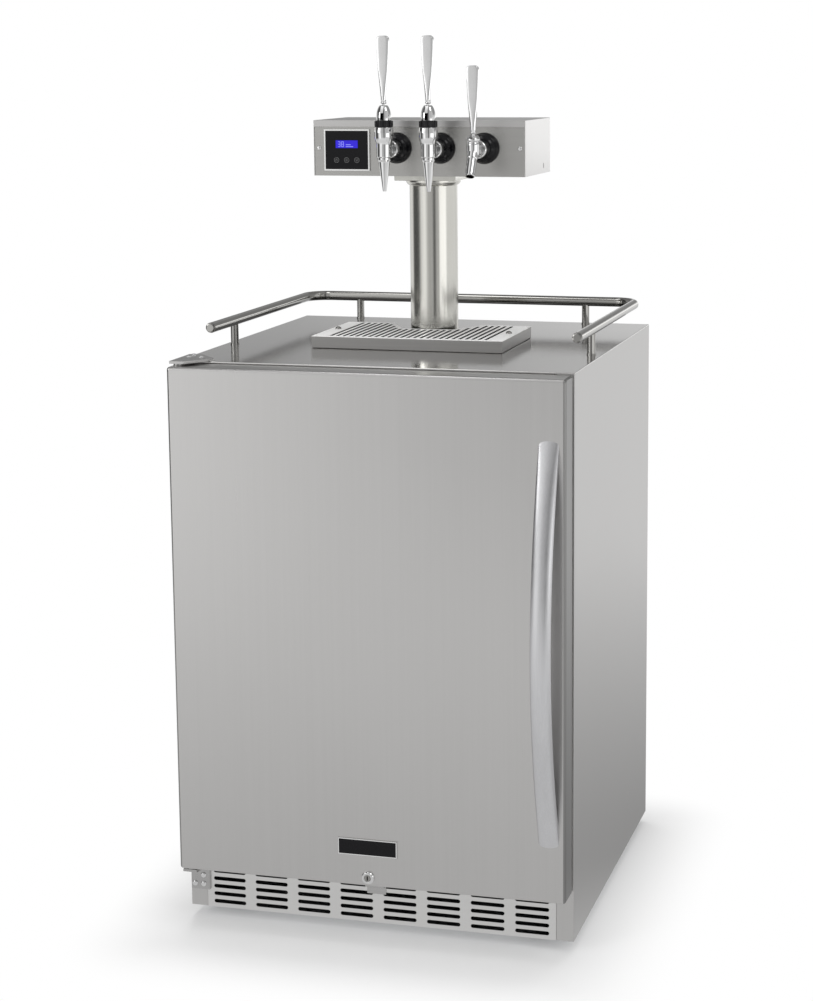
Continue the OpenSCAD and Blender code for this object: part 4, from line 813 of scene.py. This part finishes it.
# Each sign is two strokes from one (x, z) to another: an arrow up, a cross and an arrow down.
for key, sign in (("key_left", ((-1, -0.6, 0.0, 0.8), (0.0, 0.8, 1, -0.6))),
                  ("key_middle", ((-1, 0, 1, 0), (0, -1, 0, 1))),
                  ("key_right", ((-1, 0.6, 0.0, -0.8), (0.0, -0.8, 1, 0.6)))):
    shell = merged_copy(key)
    round_edges(shell, 0.0005, steps=3)
    low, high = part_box(key)
    middle = (low + high) / 2
    printed, sunk = low.y - INK_RISE, low.y + INK_SUNK
    rings = [[shell.verts.new((middle.x + r * math.cos(math.tau * k / RING_STEPS), y,
                               middle.z + r * math.sin(math.tau * k / RING_STEPS))) for k in range(RING_STEPS)]
             for r, y in ((RING_INNER, sunk), (RING_INNER, printed), (RING_OUTER, printed), (RING_OUTER, sunk))]
    bridge(shell, rings + rings[:1], 1)
    for x0, z0, x1, z1 in sign:
        start, end = Vector((x0, 0, z0)) * SIGN, Vector((x1, 0, z1)) * SIGN
        wide = (end - start).normalized().cross(Vector((0, 1, 0))) * SIGN_HALF
        spots = [shell.verts.new(Vector((middle.x, y, middle.z)) + p)
                 for y in (printed, sunk) for p in (start - wide, end - wide, end + wide, start + wide)]
        for loop in ((0, 1, 2, 3), (7, 6, 5, 4), (0, 4, 5, 1), (1, 5, 6, 2), (2, 6, 7, 3), (3, 7, 4, 0)):
            shell.faces.new([spots[i] for i in loop]).material_index = 1
    bmesh.ops.recalc_face_normals(shell, faces=shell.faces)
    make_piece(key + "_cap", shell, (key_rubber, key_print), key, key)


# Tap shanks
# Each tap screws on to a chromed shank through the front plate: a black domed flange outside, a
# coupling collar in front of it, and a lock nut and a hose barb inside the head.
DRAWING_MIDDLE, FEET_HEIGHT = 238.5, 18


def at(x, y, z):
    """A place on the drawing, in millimetres from the cabinet's front and underside, in the frame's metres."""
    return Vector((x, y - DRAWING_MIDDLE, z + FEET_HEIGHT)) / 1000


TAP_Y, TAP_Z, FLANGE_BACK = 190.2, 1157.5, 256.2
STOUTS_X, STANDARD_X = (-35, 35), 105
BACKWARD, FORWARD = (0, 1, 0), (0, -1, 0)
FLANGE = eased((11.1, 0, 0), (24, 0, 0), (24, 3, 0.8), (22.6, 5, 0.8), (22, 7.5, 1.5), (19, 12.6, 3),
               (15.5, 15.6, 1.5), (14.6, 16, 0.3), (11.1, 16, 0))
shell = bmesh.new()
for x in (*STOUTS_X, STANDARD_X):
    turn(shell, FLANGE, at(x, FLANGE_BACK, TAP_Z), FORWARD, hollow=True)
make_piece("shank_flanges_domed", shell, gloss_black, "cabinet", "shank_flanges")
chrome = polished("chrome_plate", (0.72, 0.72, 0.72), (0.80, 0.80, 0.80), 30, 0.03, 0.08, 0.002, 0.0002)
dress("shanks", "shanks_turned", chrome, edge=0.0012, steps=3)
dress("shank_nuts", "shank_nuts_cut", chrome, edge=0.0012, steps=3)

# Stout tap bodies
# Turned and polished brass under chrome: a bulged body with a stub that goes into the collar, and a
# long tapered nozzle screwed in from below.
STOUT_STUB = eased((0, 9.5, 0), (9, 9.5, 0), (9, 28, 0.6), (0, 28, 0))
STOUT_BODY = eased((7, -12, 0), (10.4, -12, 0.4), (11.5, -10.8, 0.8), (11.5, 8, 2.5), (12.3, 11.5, 1.2),
                   (12.6, 12.2, 0.3), (14.5, 18.5, 4), (14.5, 28.5, 3.5), (13.4, 33.8, 0.6), (7, 33.9, 0))
STOUT_NOZZLE = eased((1.8, -63, 0), (2.8, -63, 0.5), (5.9, -40, 12), (8.8, -17.5, 1.5), (10, -15.6, 1),
                     (10, -12.1, 0), (7, -12.1, 0), (7, -17, 1), (1.8, -55, 0))
bodies, stubs, nozzles = bmesh.new(), bmesh.new(), bmesh.new()
for x in STOUTS_X:
    turn(bodies, STOUT_BODY, at(x, TAP_Y, TAP_Z), hollow=True)
    turn(stubs, STOUT_STUB, at(x, TAP_Y, TAP_Z), BACKWARD, steps=40)
    turn(nozzles, STOUT_NOZZLE, at(x, TAP_Y, TAP_Z), hollow=True)
make_piece("stout_bodies_turned", combined(bodies, ("UNION", stubs)), chrome, "cabinet", "stout_bodies")
make_piece("stout_nozzles_turned", nozzles, chrome, "cabinet", "stout_nozzles")

# Lock rings
# A black moulded ring under each stout bonnet, with grip ribs all round, that locks it to the body.
RING_LEVEL, RING_SOFT, RIB_SHORTER = 39, 0.0007, 0.0012
ribbed_ring, taken = new_shape("ribbed_ring", Core=FLOAT, Wall=FLOAT, Height=FLOAT, Ribs="NodeSocketInt", Rib=FLOAT,
                               Seat=FLOAT)
circle = add_node(ribbed_ring, "GeometryNodeCurvePrimitiveCircle", Resolution=72, Radius=(taken, "Core"))
wall = add_node(ribbed_ring, "GeometryNodeCurvePrimitiveQuadrilateral", Width=(taken, "Wall"),
                Height=(taken, "Height"))
soft = add_node(ribbed_ring, "GeometryNodeFilletCurve", mode="POLY", Count=3, Radius=RING_SOFT, Curve=wall)
band = add_node(ribbed_ring, "GeometryNodeCurveToMesh", Curve=circle, Profile_Curve=soft)
seats = add_node(ribbed_ring, "GeometryNodeMeshCircle", Vertices=(taken, "Ribs"), Radius=(taken, "Seat"))
short = add_node(ribbed_ring, "ShaderNodeMath", (taken, "Height"), RIB_SHORTER, operation="SUBTRACT")
rib = add_node(ribbed_ring, "GeometryNodeMeshCylinder", Vertices=14, Side_Segments=1, Radius=(taken, "Rib"),
               Depth=short)
ribs = add_node(ribbed_ring, "GeometryNodeInstanceOnPoints", Points=seats, Instance=rib)
whole = add_node(ribbed_ring, "GeometryNodeMeshBoolean", None, ribs, operation="UNION", solver="EXACT")
ribbed_ring.links.new(band.outputs[0], whole.inputs[1])
placed = add_node(ribbed_ring, "GeometryNodeInstanceOnPoints", Points=(taken, "Base"), Instance=whole)
close_shape(ribbed_ring, taken, placed)
shell = grown(ribbed_ring, [at(x, TAP_Y, TAP_Z + RING_LEVEL) for x in STOUTS_X], Core=0.0105, Wall=0.0052,
              Height=0.0099, Ribs=16, Rib=0.0015, Seat=0.0127, Finish=black_plastic)
make_piece("stout_lock_rings_ribbed", shell, black_plastic, "cabinet", "stout_lock_rings")


# Bonnets
# The stout taps have a bullet-shaped cap with a slot for the lever; the standard tap has a low turned nut.
# What lies inside the cap's curve is painted black as shade.
def arc_line(radius, centre, angles, stretch=1.0):
    """Corners (radius, height) on an arc round a point of the axis, by angles up from level."""
    return [Vector((radius * math.cos(math.radians(a)), centre + stretch * radius * math.sin(math.radians(a))))
            for a in angles]


CAP_RADIUS, CAP_LEVEL, CAP_RISE, CAP_LOW, SLOT = 11.5, 48, 21.94, 44.1, 2.5
bullet_side = arc_line(CAP_RADIUS, CAP_LEVEL, range(0, 57, 4), CAP_RISE / CAP_RADIUS)
BULLET = ([Vector((5.8, CAP_LOW)), Vector((11.2, CAP_LOW)), Vector((CAP_RADIUS, CAP_LOW + 0.4))] + bullet_side
          + eased((6.0, 66.4, 0), (5.4, 67, 0.5), (SLOT + 0.2, 67, 0), (SLOT + 0.2, 58.8, 0), (5.8, 55.6, 0))[1:])
LOW_NUT = eased((5.8, 14.1, 0), (10.6, 14.1, 0.4), (11, 14.8, 0.5), (11, 17.4, 1), (9.4, 19.8, 1.5),
                (7.6, 22, 0.8), (5.8, 22, 0))
NUT_SLOT = 2.9
caps, slots, mouth = bmesh.new(), bmesh.new(), bmesh.new()
for x in STOUTS_X:
    turn(caps, BULLET, at(x, TAP_Y, TAP_Z), hollow=True)
    bar(slots, at(x - SLOT, TAP_Y - 16, TAP_Z + 44.6), at(x + SLOT, TAP_Y, TAP_Z + 70))
turn(caps, LOW_NUT, at(STANDARD_X, TAP_Y, TAP_Z), hollow=True)
for cutter, reach, lowest in ((mouth, 8.6, 13), (slots, 16, 17.2)):
    bar(cutter, at(STANDARD_X - NUT_SLOT, TAP_Y - reach, TAP_Z + lowest),
        at(STANDARD_X + NUT_SLOT, TAP_Y, TAP_Z + 24))


# The range and inset of the faces inside a cap that are painted black as shade.
SHADED_LOW, SHADED_HIGH, SHADED_INSET = 45, 66.5, 0.3


def inside_a_cap(face, spot):
    """Tells the faces that lie within the curve of one of the stout caps, which are painted black as shade."""
    for x in STOUTS_X:
        aside, deep, rise = (spot - at(x, TAP_Y, TAP_Z)) * 1000
        share = min(max((rise - CAP_LEVEL) / CAP_RISE, 0), 1)
        curve = CAP_RADIUS * math.cos(math.asin(share))
        if SHADED_LOW < rise < SHADED_HIGH and math.hypot(aside, deep) < curve - SHADED_INSET:
            return True
    return False


shell = combined(caps, ("DIFFERENCE", slots), ("DIFFERENCE", mouth))
# Faces inside the caps are painted black: painted shade.
paint(shell, inside_a_cap)
make_piece("tap_bonnets_turned", shell, (chrome, black_plastic), "cabinet", "tap_bonnets")

# Standard tap body
# A short chromed barrel with a stub behind and a bored spout that leans forward.
LEAN = math.radians(29)
SPOUT_WAY = (0, -math.sin(LEAN), -math.cos(LEAN))
SEAT_RADIUS, SEAT_LEVEL = 5.6, 10
middle = at(STANDARD_X, TAP_Y, TAP_Z)
barrel, stub, spout, bore, passage, socket = (bmesh.new() for _ in range(6))
turn(barrel, eased((0, -11, 0), (6, -11, 1.5), (9.2, -8.4, 2.5), (10, -3, 3), (10, 9.5, 2), (9.2, 11.4, 0.6),
                   (9.2, 12.4, 0.4), (10, 14, 0.2), (0, 14, 0)), middle)
turn(stub, eased((0, 4, 0), (9, 4, 0), (9, 28, 0.6), (0, 28, 0)), middle, BACKWARD, steps=40)
turn(spout, eased((0, 0, 0), (8.5, 0, 0), (8.4, 14, 0.5), (7.7, 15.6, 1), (7.3, 41, 4), (7.6, 42.4, 0.5),
                  (7.3, 44, 0.5), (0, 44, 0)), middle, SPOUT_WAY, steps=48)
turn(bore, eased((0, 16, 0), (5.6, 16, 0), (5.6, 50, 0), (0, 50, 0)), middle, SPOUT_WAY, steps=40)
turn(passage, eased((0, 0, 0), (5, 0, 0), (5, 32, 0), (0, 32, 0)), middle, BACKWARD, steps=40)
bar(passage, at(STANDARD_X - NUT_SLOT, TAP_Y - 6.8, TAP_Z + 11.5), at(STANDARD_X + NUT_SLOT, TAP_Y, TAP_Z + 16))
ball_seat = arc_line(SEAT_RADIUS, SEAT_LEVEL, range(-90, 1, 10))
ball_seat[0].x = 0
turn(socket, ball_seat + [Vector((SEAT_RADIUS, 16)), Vector((0, 16))], middle, steps=40)
shell = combined(barrel, ("UNION", stub), ("UNION", spout), ("DIFFERENCE", bore), ("DIFFERENCE", passage),
                 ("DIFFERENCE", socket))
make_piece("standard_body_turned", shell, chrome, "cabinet", "standard_body")


# Levers and plungers
# Chromed paddles, round at the foot and flat at the top, on a ferrule and a ball lever that rocks in the
# bonnet. Each lever works a plain steel plunger inside its tap.
FOOT_HALF, TOP_HALF, TOP_ROUND, TOP_DRAW = 4.2, 9.5, 6.5, 6.6
# The rings up the paddle and how far they reach, how its width flares, what its depth loses, and how much
# of its roundness goes by which share of its length.
RINGS, RINGS_REACH, FLARE, FLARE_POWER, THINNER, SQUARED, SQUARED_BY = 26, 0.94, 1.02, 1.15, 0.2, 0.68, 0.45


def paddle(shell, foot, length, steps=40):
    """Adds a tapered paddle whose section goes from round to a flat with soft corners."""
    heights = [length * k / RINGS * RINGS_REACH for k in range(RINGS)]
    heights += [length - TOP_ROUND * (1 - math.sin(math.radians(a))) for a in (0, 12, 24, 36, 48, 60, 70, 78, 84, 88)]
    rings = []
    for height in sorted(heights):
        along = height / length
        flare = math.sin(math.pi / 2 * min(1.0, along * FLARE)) ** FLARE_POWER
        half = FOOT_HALF + (TOP_HALF - FOOT_HALF) * flare
        deep = FOOT_HALF - THINNER * along
        over = max(0.0, (height - (length - TOP_ROUND)) / TOP_ROUND)
        half -= TOP_DRAW * (1 - math.sqrt(1 - over ** 2))
        power = 1.0 - SQUARED * min(1.0, along / SQUARED_BY)
        rings.append([])
        for k in range(steps):
            c, s = math.cos(math.tau * k / steps), math.sin(math.tau * k / steps)
            spot = Vector((math.copysign(abs(c) ** power * half, c), math.copysign(abs(s) ** power * deep, s), height))
            rings[-1].append(shell.verts.new(foot + spot / 1000))
    bridge(shell, rings)
    shell.faces.new(rings[0])
    shell.faces.new(rings[-1])
    bmesh.ops.recalc_face_normals(shell, faces=shell.faces)


def blade(shell, pivot, edge, half):
    """Adds the flat neck that fills the bonnet's slot: a fan from the pivot to the cap's own curve."""
    outline = [(0, -2), (0, edge[-1][1]), *((-r, z) for r, z in reversed(edge)), (-3, -2)]
    sides = [[shell.verts.new(pivot + Vector((x, y, z)) / 1000) for y, z in outline] for x in (-half, half)]
    for side in sides:
        shell.faces.new(side)
    bridge(shell, sides)
    bmesh.ops.recalc_face_normals(shell, faces=shell.faces)


satin_chrome = polished("satin_chrome", (0.86, 0.86, 0.86), (0.92, 0.92, 0.92), 20, 0.10, 0.18, 0.0, 0.0002)
plunger_steel = brushed_metal("plunger_steel", (0.50, 0.50, 0.50), (0.60, 0.60, 0.60), (900, 900, 900), 0.25, 0.4,
                              bump=0.02)
PADDLE_LENGTH, PADDLE_SUNK, FERRULE, BALL, BLADE_HALF = 96.6, 0.6, 6, 5.5, 2.2
for side, x, pivot, ferrule, neck in (("left", STOUTS_X[0], 53, 69, 2.2), ("middle", STOUTS_X[1], 53, 69, 2.2),
                                      ("right", STANDARD_X, 10, 24, 2.7)):
    lever, plunger = "lever_" + side, "plunger_" + side
    centre = at(x, TAP_Y, TAP_Z + pivot)
    rise = ferrule - pivot
    stem = [p for p in arc_line(BALL, 0, range(-90, 71, 10)) if p.y < 0 or p.x > neck]
    stem[0].x = 0
    stem += eased((neck, 5.6, 0), (neck, rise - 0.1, 0.4), (3.8, rise + 0.4, 0.4), (4.5, rise + 1.3, 0.5),
                  (4.5, rise + 2.6, 0.5), (3.6, rise + 3.4, 0.4), (3.7, rise + 4.6, 0.4),
                  (4.4, rise + FERRULE, 0.3), (0, rise + FERRULE, 0))
    shell, foot = bmesh.new(), bmesh.new()
    turn(shell, stem, centre, steps=40)
    paddle(foot, centre + Vector((0, 0, rise + FERRULE - PADDLE_SUNK)) / 1000, PADDLE_LENGTH)
    joins = [("UNION", foot)]
    if x in STOUTS_X:
        fan = bmesh.new()
        edge = [(r - 0.05, z - pivot) for r, z in bullet_side if 17 < math.degrees(math.acos(r / CAP_RADIUS)) < 61]
        blade(fan, centre, edge, BLADE_HALF)
        joins.append(("UNION", fan))
    shell = combined(shell, *joins)
    # The lever's neck and ball inside the cap are painted black: painted shade.
    paint(shell, inside_a_cap)
    make_piece(lever + "_paddle", shell, (satin_chrome, black_plastic), lever, lever)
    dress(plunger, plunger + "_turned", plunger_steel, edge=0.0004, body=plunger)


# Door
# A foam-filled door: a stainless skin folded round four edges, a white plastic inner sheet, and a grey
# magnetic gasket pushed into a groove round the inside.
door_steel = brushed_metal("door_brushed_steel", STEEL_DARK, STEEL_LIGHT, UPRIGHT, 0.27, 0.32)
# The door's left and right edges and the outer part of their folds take this darker copy of the steel: painted shade.
door_edge_shaded_steel = brushed_metal("door_edge_painted_shade", (0.27, 0.268, 0.264), (0.31, 0.307, 0.303), UPRIGHT, 0.30, 0.38)
grey_vinyl = moulded("gasket_vinyl", (0.36, 0.36, 0.37), (0.42, 0.42, 0.43), 500, 0.45, 0.6, 0.12, 0.0005)
DOOR_FOLD, INNER_FOLD, CORE_FOLD = 0.005, 0.0038, 0.0042
low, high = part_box("door_skin")
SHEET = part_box("door_core")[0].y - low.y


def fold_at(inset):
    """Picks the edges of the door's front and the corners that run back from it, some way inside the skin."""
    def picked(edge):
        middle = (edge.verts[0].co + edge.verts[1].co) / 2
        ends = sum(min(abs(middle[i] - low[i] - inset), abs(middle[i] - high[i] + inset)) < 1e-5 for i in (0, 2))
        return ends == 2 or (ends == 1 and abs(middle.y - low.y - inset) < 1e-5)
    return picked


def on_door_edge(face, spot):
    """Tells the faces round the door's left and right edges, which are painted darker as shade."""
    return min(spot.x - low.x, high.x - spot.x) < DOOR_FOLD and abs(face.normal.x) > 0.3


shell = merged_copy("door_skin")
round_edges(shell, DOOR_FOLD, pick=fold_at(0), steps=6)
round_edges(shell, INNER_FOLD, pick=fold_at(SHEET), steps=6)
shell.normal_update()
# The side edges and their folds are painted darker as shade.
paint(shell, on_door_edge)
make_piece("door_skin_folded", shell, (door_steel, door_edge_shaded_steel), "door", "door_skin")
shell = merged_copy("door_core")
round_edges(shell, CORE_FOLD, pick=fold_at(SHEET), steps=4)
make_piece("door_core_foam", shell, foam, "door", "door_core")
dress("door_liner", "door_liner_sheet", white_plastic, edge=0.0008, body="door")
dress("door_gasket", "door_gasket_lip", grey_vinyl, edge=0.0018, steps=3, body="door")

# Door handle
# A bowed bar of extruded aluminium with a crowned face, satin anodised along its length, cut flat where
# it meets the door and bolted on from inside.
satin = brushed_metal("satin_aluminium", (0.62, 0.62, 0.63), (0.74, 0.74, 0.755), (800, 800, 6), 0.30, 0.38,
                      streaks=0.4)
BAR_THICK, BAR_CROWN, BAR_SOFT, BAR_STEPS = 0.012, 0.0072, 0.0028, 96
BAR_OVERRUN, PRESSED, PRESSED_POWER = math.radians(1.2), 0.85, 5
low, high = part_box("door_handle")
door_face = high.y
half, bow, long_half = (high.x - low.x) / 2, high.y - low.y, (high.z - low.z) / 2
bow_radius = (long_half ** 2 + bow ** 2) / (2 * bow)
spread = math.asin(long_half / bow_radius) + BAR_OVERRUN
hub = Vector(((low.x + high.x) / 2, low.y + bow_radius, (low.z + high.z) / 2))
# The section as (across, inward, whether it belongs to the crown): the crowned face and two soft back corners.
section = [(half * math.sin(math.radians(a)), BAR_CROWN * (1 - math.cos(math.radians(a))), True)
           for a in range(-84, 85, 7)]
edge_x = section[-1][0]
for side, turnings in ((1, range(0, 91, 18)), (-1, range(90, -1, -18))):
    section += [(side * (edge_x - BAR_SOFT + BAR_SOFT * math.cos(math.radians(a))),
                 BAR_THICK - BAR_SOFT + BAR_SOFT * math.sin(math.radians(a)), False) for a in turnings]
shell = bmesh.new()
rings = []
for k in range(BAR_STEPS + 1):
    share = 2 * k / BAR_STEPS - 1
    # The crown runs out towards the ends, which are pressed flat.
    flatter = 1 - PRESSED * abs(share) ** PRESSED_POWER
    rings.append([])
    for across, inward, crowned in section:
        radius = bow_radius - inward * (flatter if crowned else 1)
        spot = Vector((across, -radius * math.cos(spread * share), radius * math.sin(spread * share)))
        rings[-1].append(shell.verts.new(hub + spot))
bridge(shell, rings)
bmesh.ops.bisect_plane(shell, geom=shell.verts[:] + shell.edges[:] + shell.faces[:], dist=1e-7,
                       plane_co=(0, door_face, 0), plane_no=(0, 1, 0), clear_outer=True)
bmesh.ops.holes_fill(shell, edges=[e for e in shell.edges if e.is_boundary])
bmesh.ops.recalc_face_normals(shell, faces=shell.faces)
make_piece("door_handle_bar", shell, satin, "door", "door_handle")

# Badge plate
# A small bare plate, gloss black in a bright raised rim, stuck to the door.
RIM_RISE = 0.0006
shell = merged_copy("badge_plate")
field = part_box("badge_plate")[0].y + RIM_RISE
paint(shell, lambda face, spot: abs(spot.y - field) >= 1e-5)
round_edges(shell, 0.0005, steps=3)
make_piece("badge_plate_bare", shell, (gloss_black, bright_trim), "door", "badge_plate")

# Hinge bushes
# Two white nylon sleeves in the door's edges that turn on the pins.
nylon = moulded("moulded_nylon", (0.72, 0.71, 0.67), (0.80, 0.79, 0.75), 1200, 0.4, 0.55, 0.06, 0.0004)
dress("hinge_bushes", "hinge_bushes_sleeves", nylon, edge=0.0005, body="door")

# Lock
# A chromed cam lock under the badge: a fixed barrel in the door and a cylinder that turns its cam.
KEYWAY_HALF_WIDTH, KEYWAY_HALF_HEIGHT, KEYWAY_START, KEYWAY_END = 0.00125, 0.0037, 0.0002, 0.0032
dress("lock_housing", "lock_housing_barrel", chrome, edge=0.0013, steps=4, body="door")
housing_low, housing_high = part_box("lock_housing")
lock_z = (housing_low.z + housing_high.z) / 2
lock_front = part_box("lock_cylinder")[0].y


def in_keyway(face, spot):
    """Tells the faces inside the slot for the key, which are painted black as shade."""
    return (abs(spot.x) < KEYWAY_HALF_WIDTH and abs(spot.z - lock_z) < KEYWAY_HALF_HEIGHT
            and lock_front + KEYWAY_START < spot.y < lock_front + KEYWAY_END)


shell = merged_copy("lock_cylinder")
round_edges(shell, 0.0003)
# The keyway's walls and floor are painted black: painted shade.
paint(shell, in_keyway)
make_piece("lock_cylinder_cam", shell, (satin_tube, black_plastic), "lock", "lock_cylinder")


# Screws
# Stainless pan heads, plated bright, that hold the hinge plates and the head's front plate. Each one is
# driven where the frame has its screw.
def loose_parts(shell):
    """The lowest and highest corner of every separate solid in a shell."""
    found, left = [], set(shell.verts)
    while left:
        reach, part = [left.pop()], []
        while reach:
            spot = reach.pop()
            part.append(spot.co)
            for edge in spot.link_edges:
                other = edge.other_vert(spot)
                if other in left:
                    left.remove(other)
                    reach.append(other)
        found.append((Vector(map(min, *part)), Vector(map(max, *part))))
    return sorted(found, key=lambda corners: corners[0][:])


# One head and its shank, a millimetre in radius, which is scaled to each screw's own radius.
PAN_HEAD = eased((0, -6, 0), (0.45, -6, 0), (0.45, 0, 0), (1, 0, 0), (1, 0.22, 0.15), (0.72, 0.5, 0.3), (0, 0.58, 0))
shell = bmesh.new()
turn(shell, PAN_HEAD, Vector((0, 0, 0)), steps=32)
head_mesh = bpy.data.meshes.new("screw_head")
shell.to_mesh(head_mesh)
shell.free()
head_stock = put_in_scene("screw_head", head_mesh)

driven, taken = new_shape("driven_screws", Head="NodeSocketObject")
stock = add_node(driven, "GeometryNodeObjectInfo", Object=(taken, "Head"))
facing = add_node(driven, "GeometryNodeInputNamedAttribute", data_type="FLOAT_VECTOR", Name="facing")
aimed = add_node(driven, "FunctionNodeAlignRotationToVector", axis="Z", Vector=(facing, "Attribute"))
length = add_node(driven, "ShaderNodeVectorMath", (facing, "Attribute"), operation="LENGTH")
placed = add_node(driven, "GeometryNodeInstanceOnPoints", Points=(taken, "Base"), Instance=(stock, "Geometry"),
                  Rotation=aimed, Scale=(length, "Value"))
close_shape(driven, taken, placed)
# How far a head stands out: the large ones of the hinge plates, and the small ones of the front plate.
HINGE_RISE, PLATE_RISE = 0.0026, 0.002
seats, ways = [], []
shell = merged_copy("screws")
for low, high in loose_parts(shell):
    middle, size = (low + high) / 2, high - low
    radius = size.x / 2
    upright = size.z > size.y
    rise = HINGE_RISE if radius > 0.004 else PLATE_RISE
    seats.append((middle.x, middle.y, high.z - rise) if upright else (middle.x, low.y + rise, middle.z))
    ways.append(Vector((0, 0, 1) if upright else FORWARD) * radius * 1000)
shell.free()
shell = grown(driven, seats, facing=ways, Head=head_stock, Finish=chrome)
bpy.data.objects.remove(head_stock)
make_piece("screws_pan_head", shell, chrome, "cabinet", "screws")

# Size
# The dressed part's box, as the frame's box was taken after the import.
low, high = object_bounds()
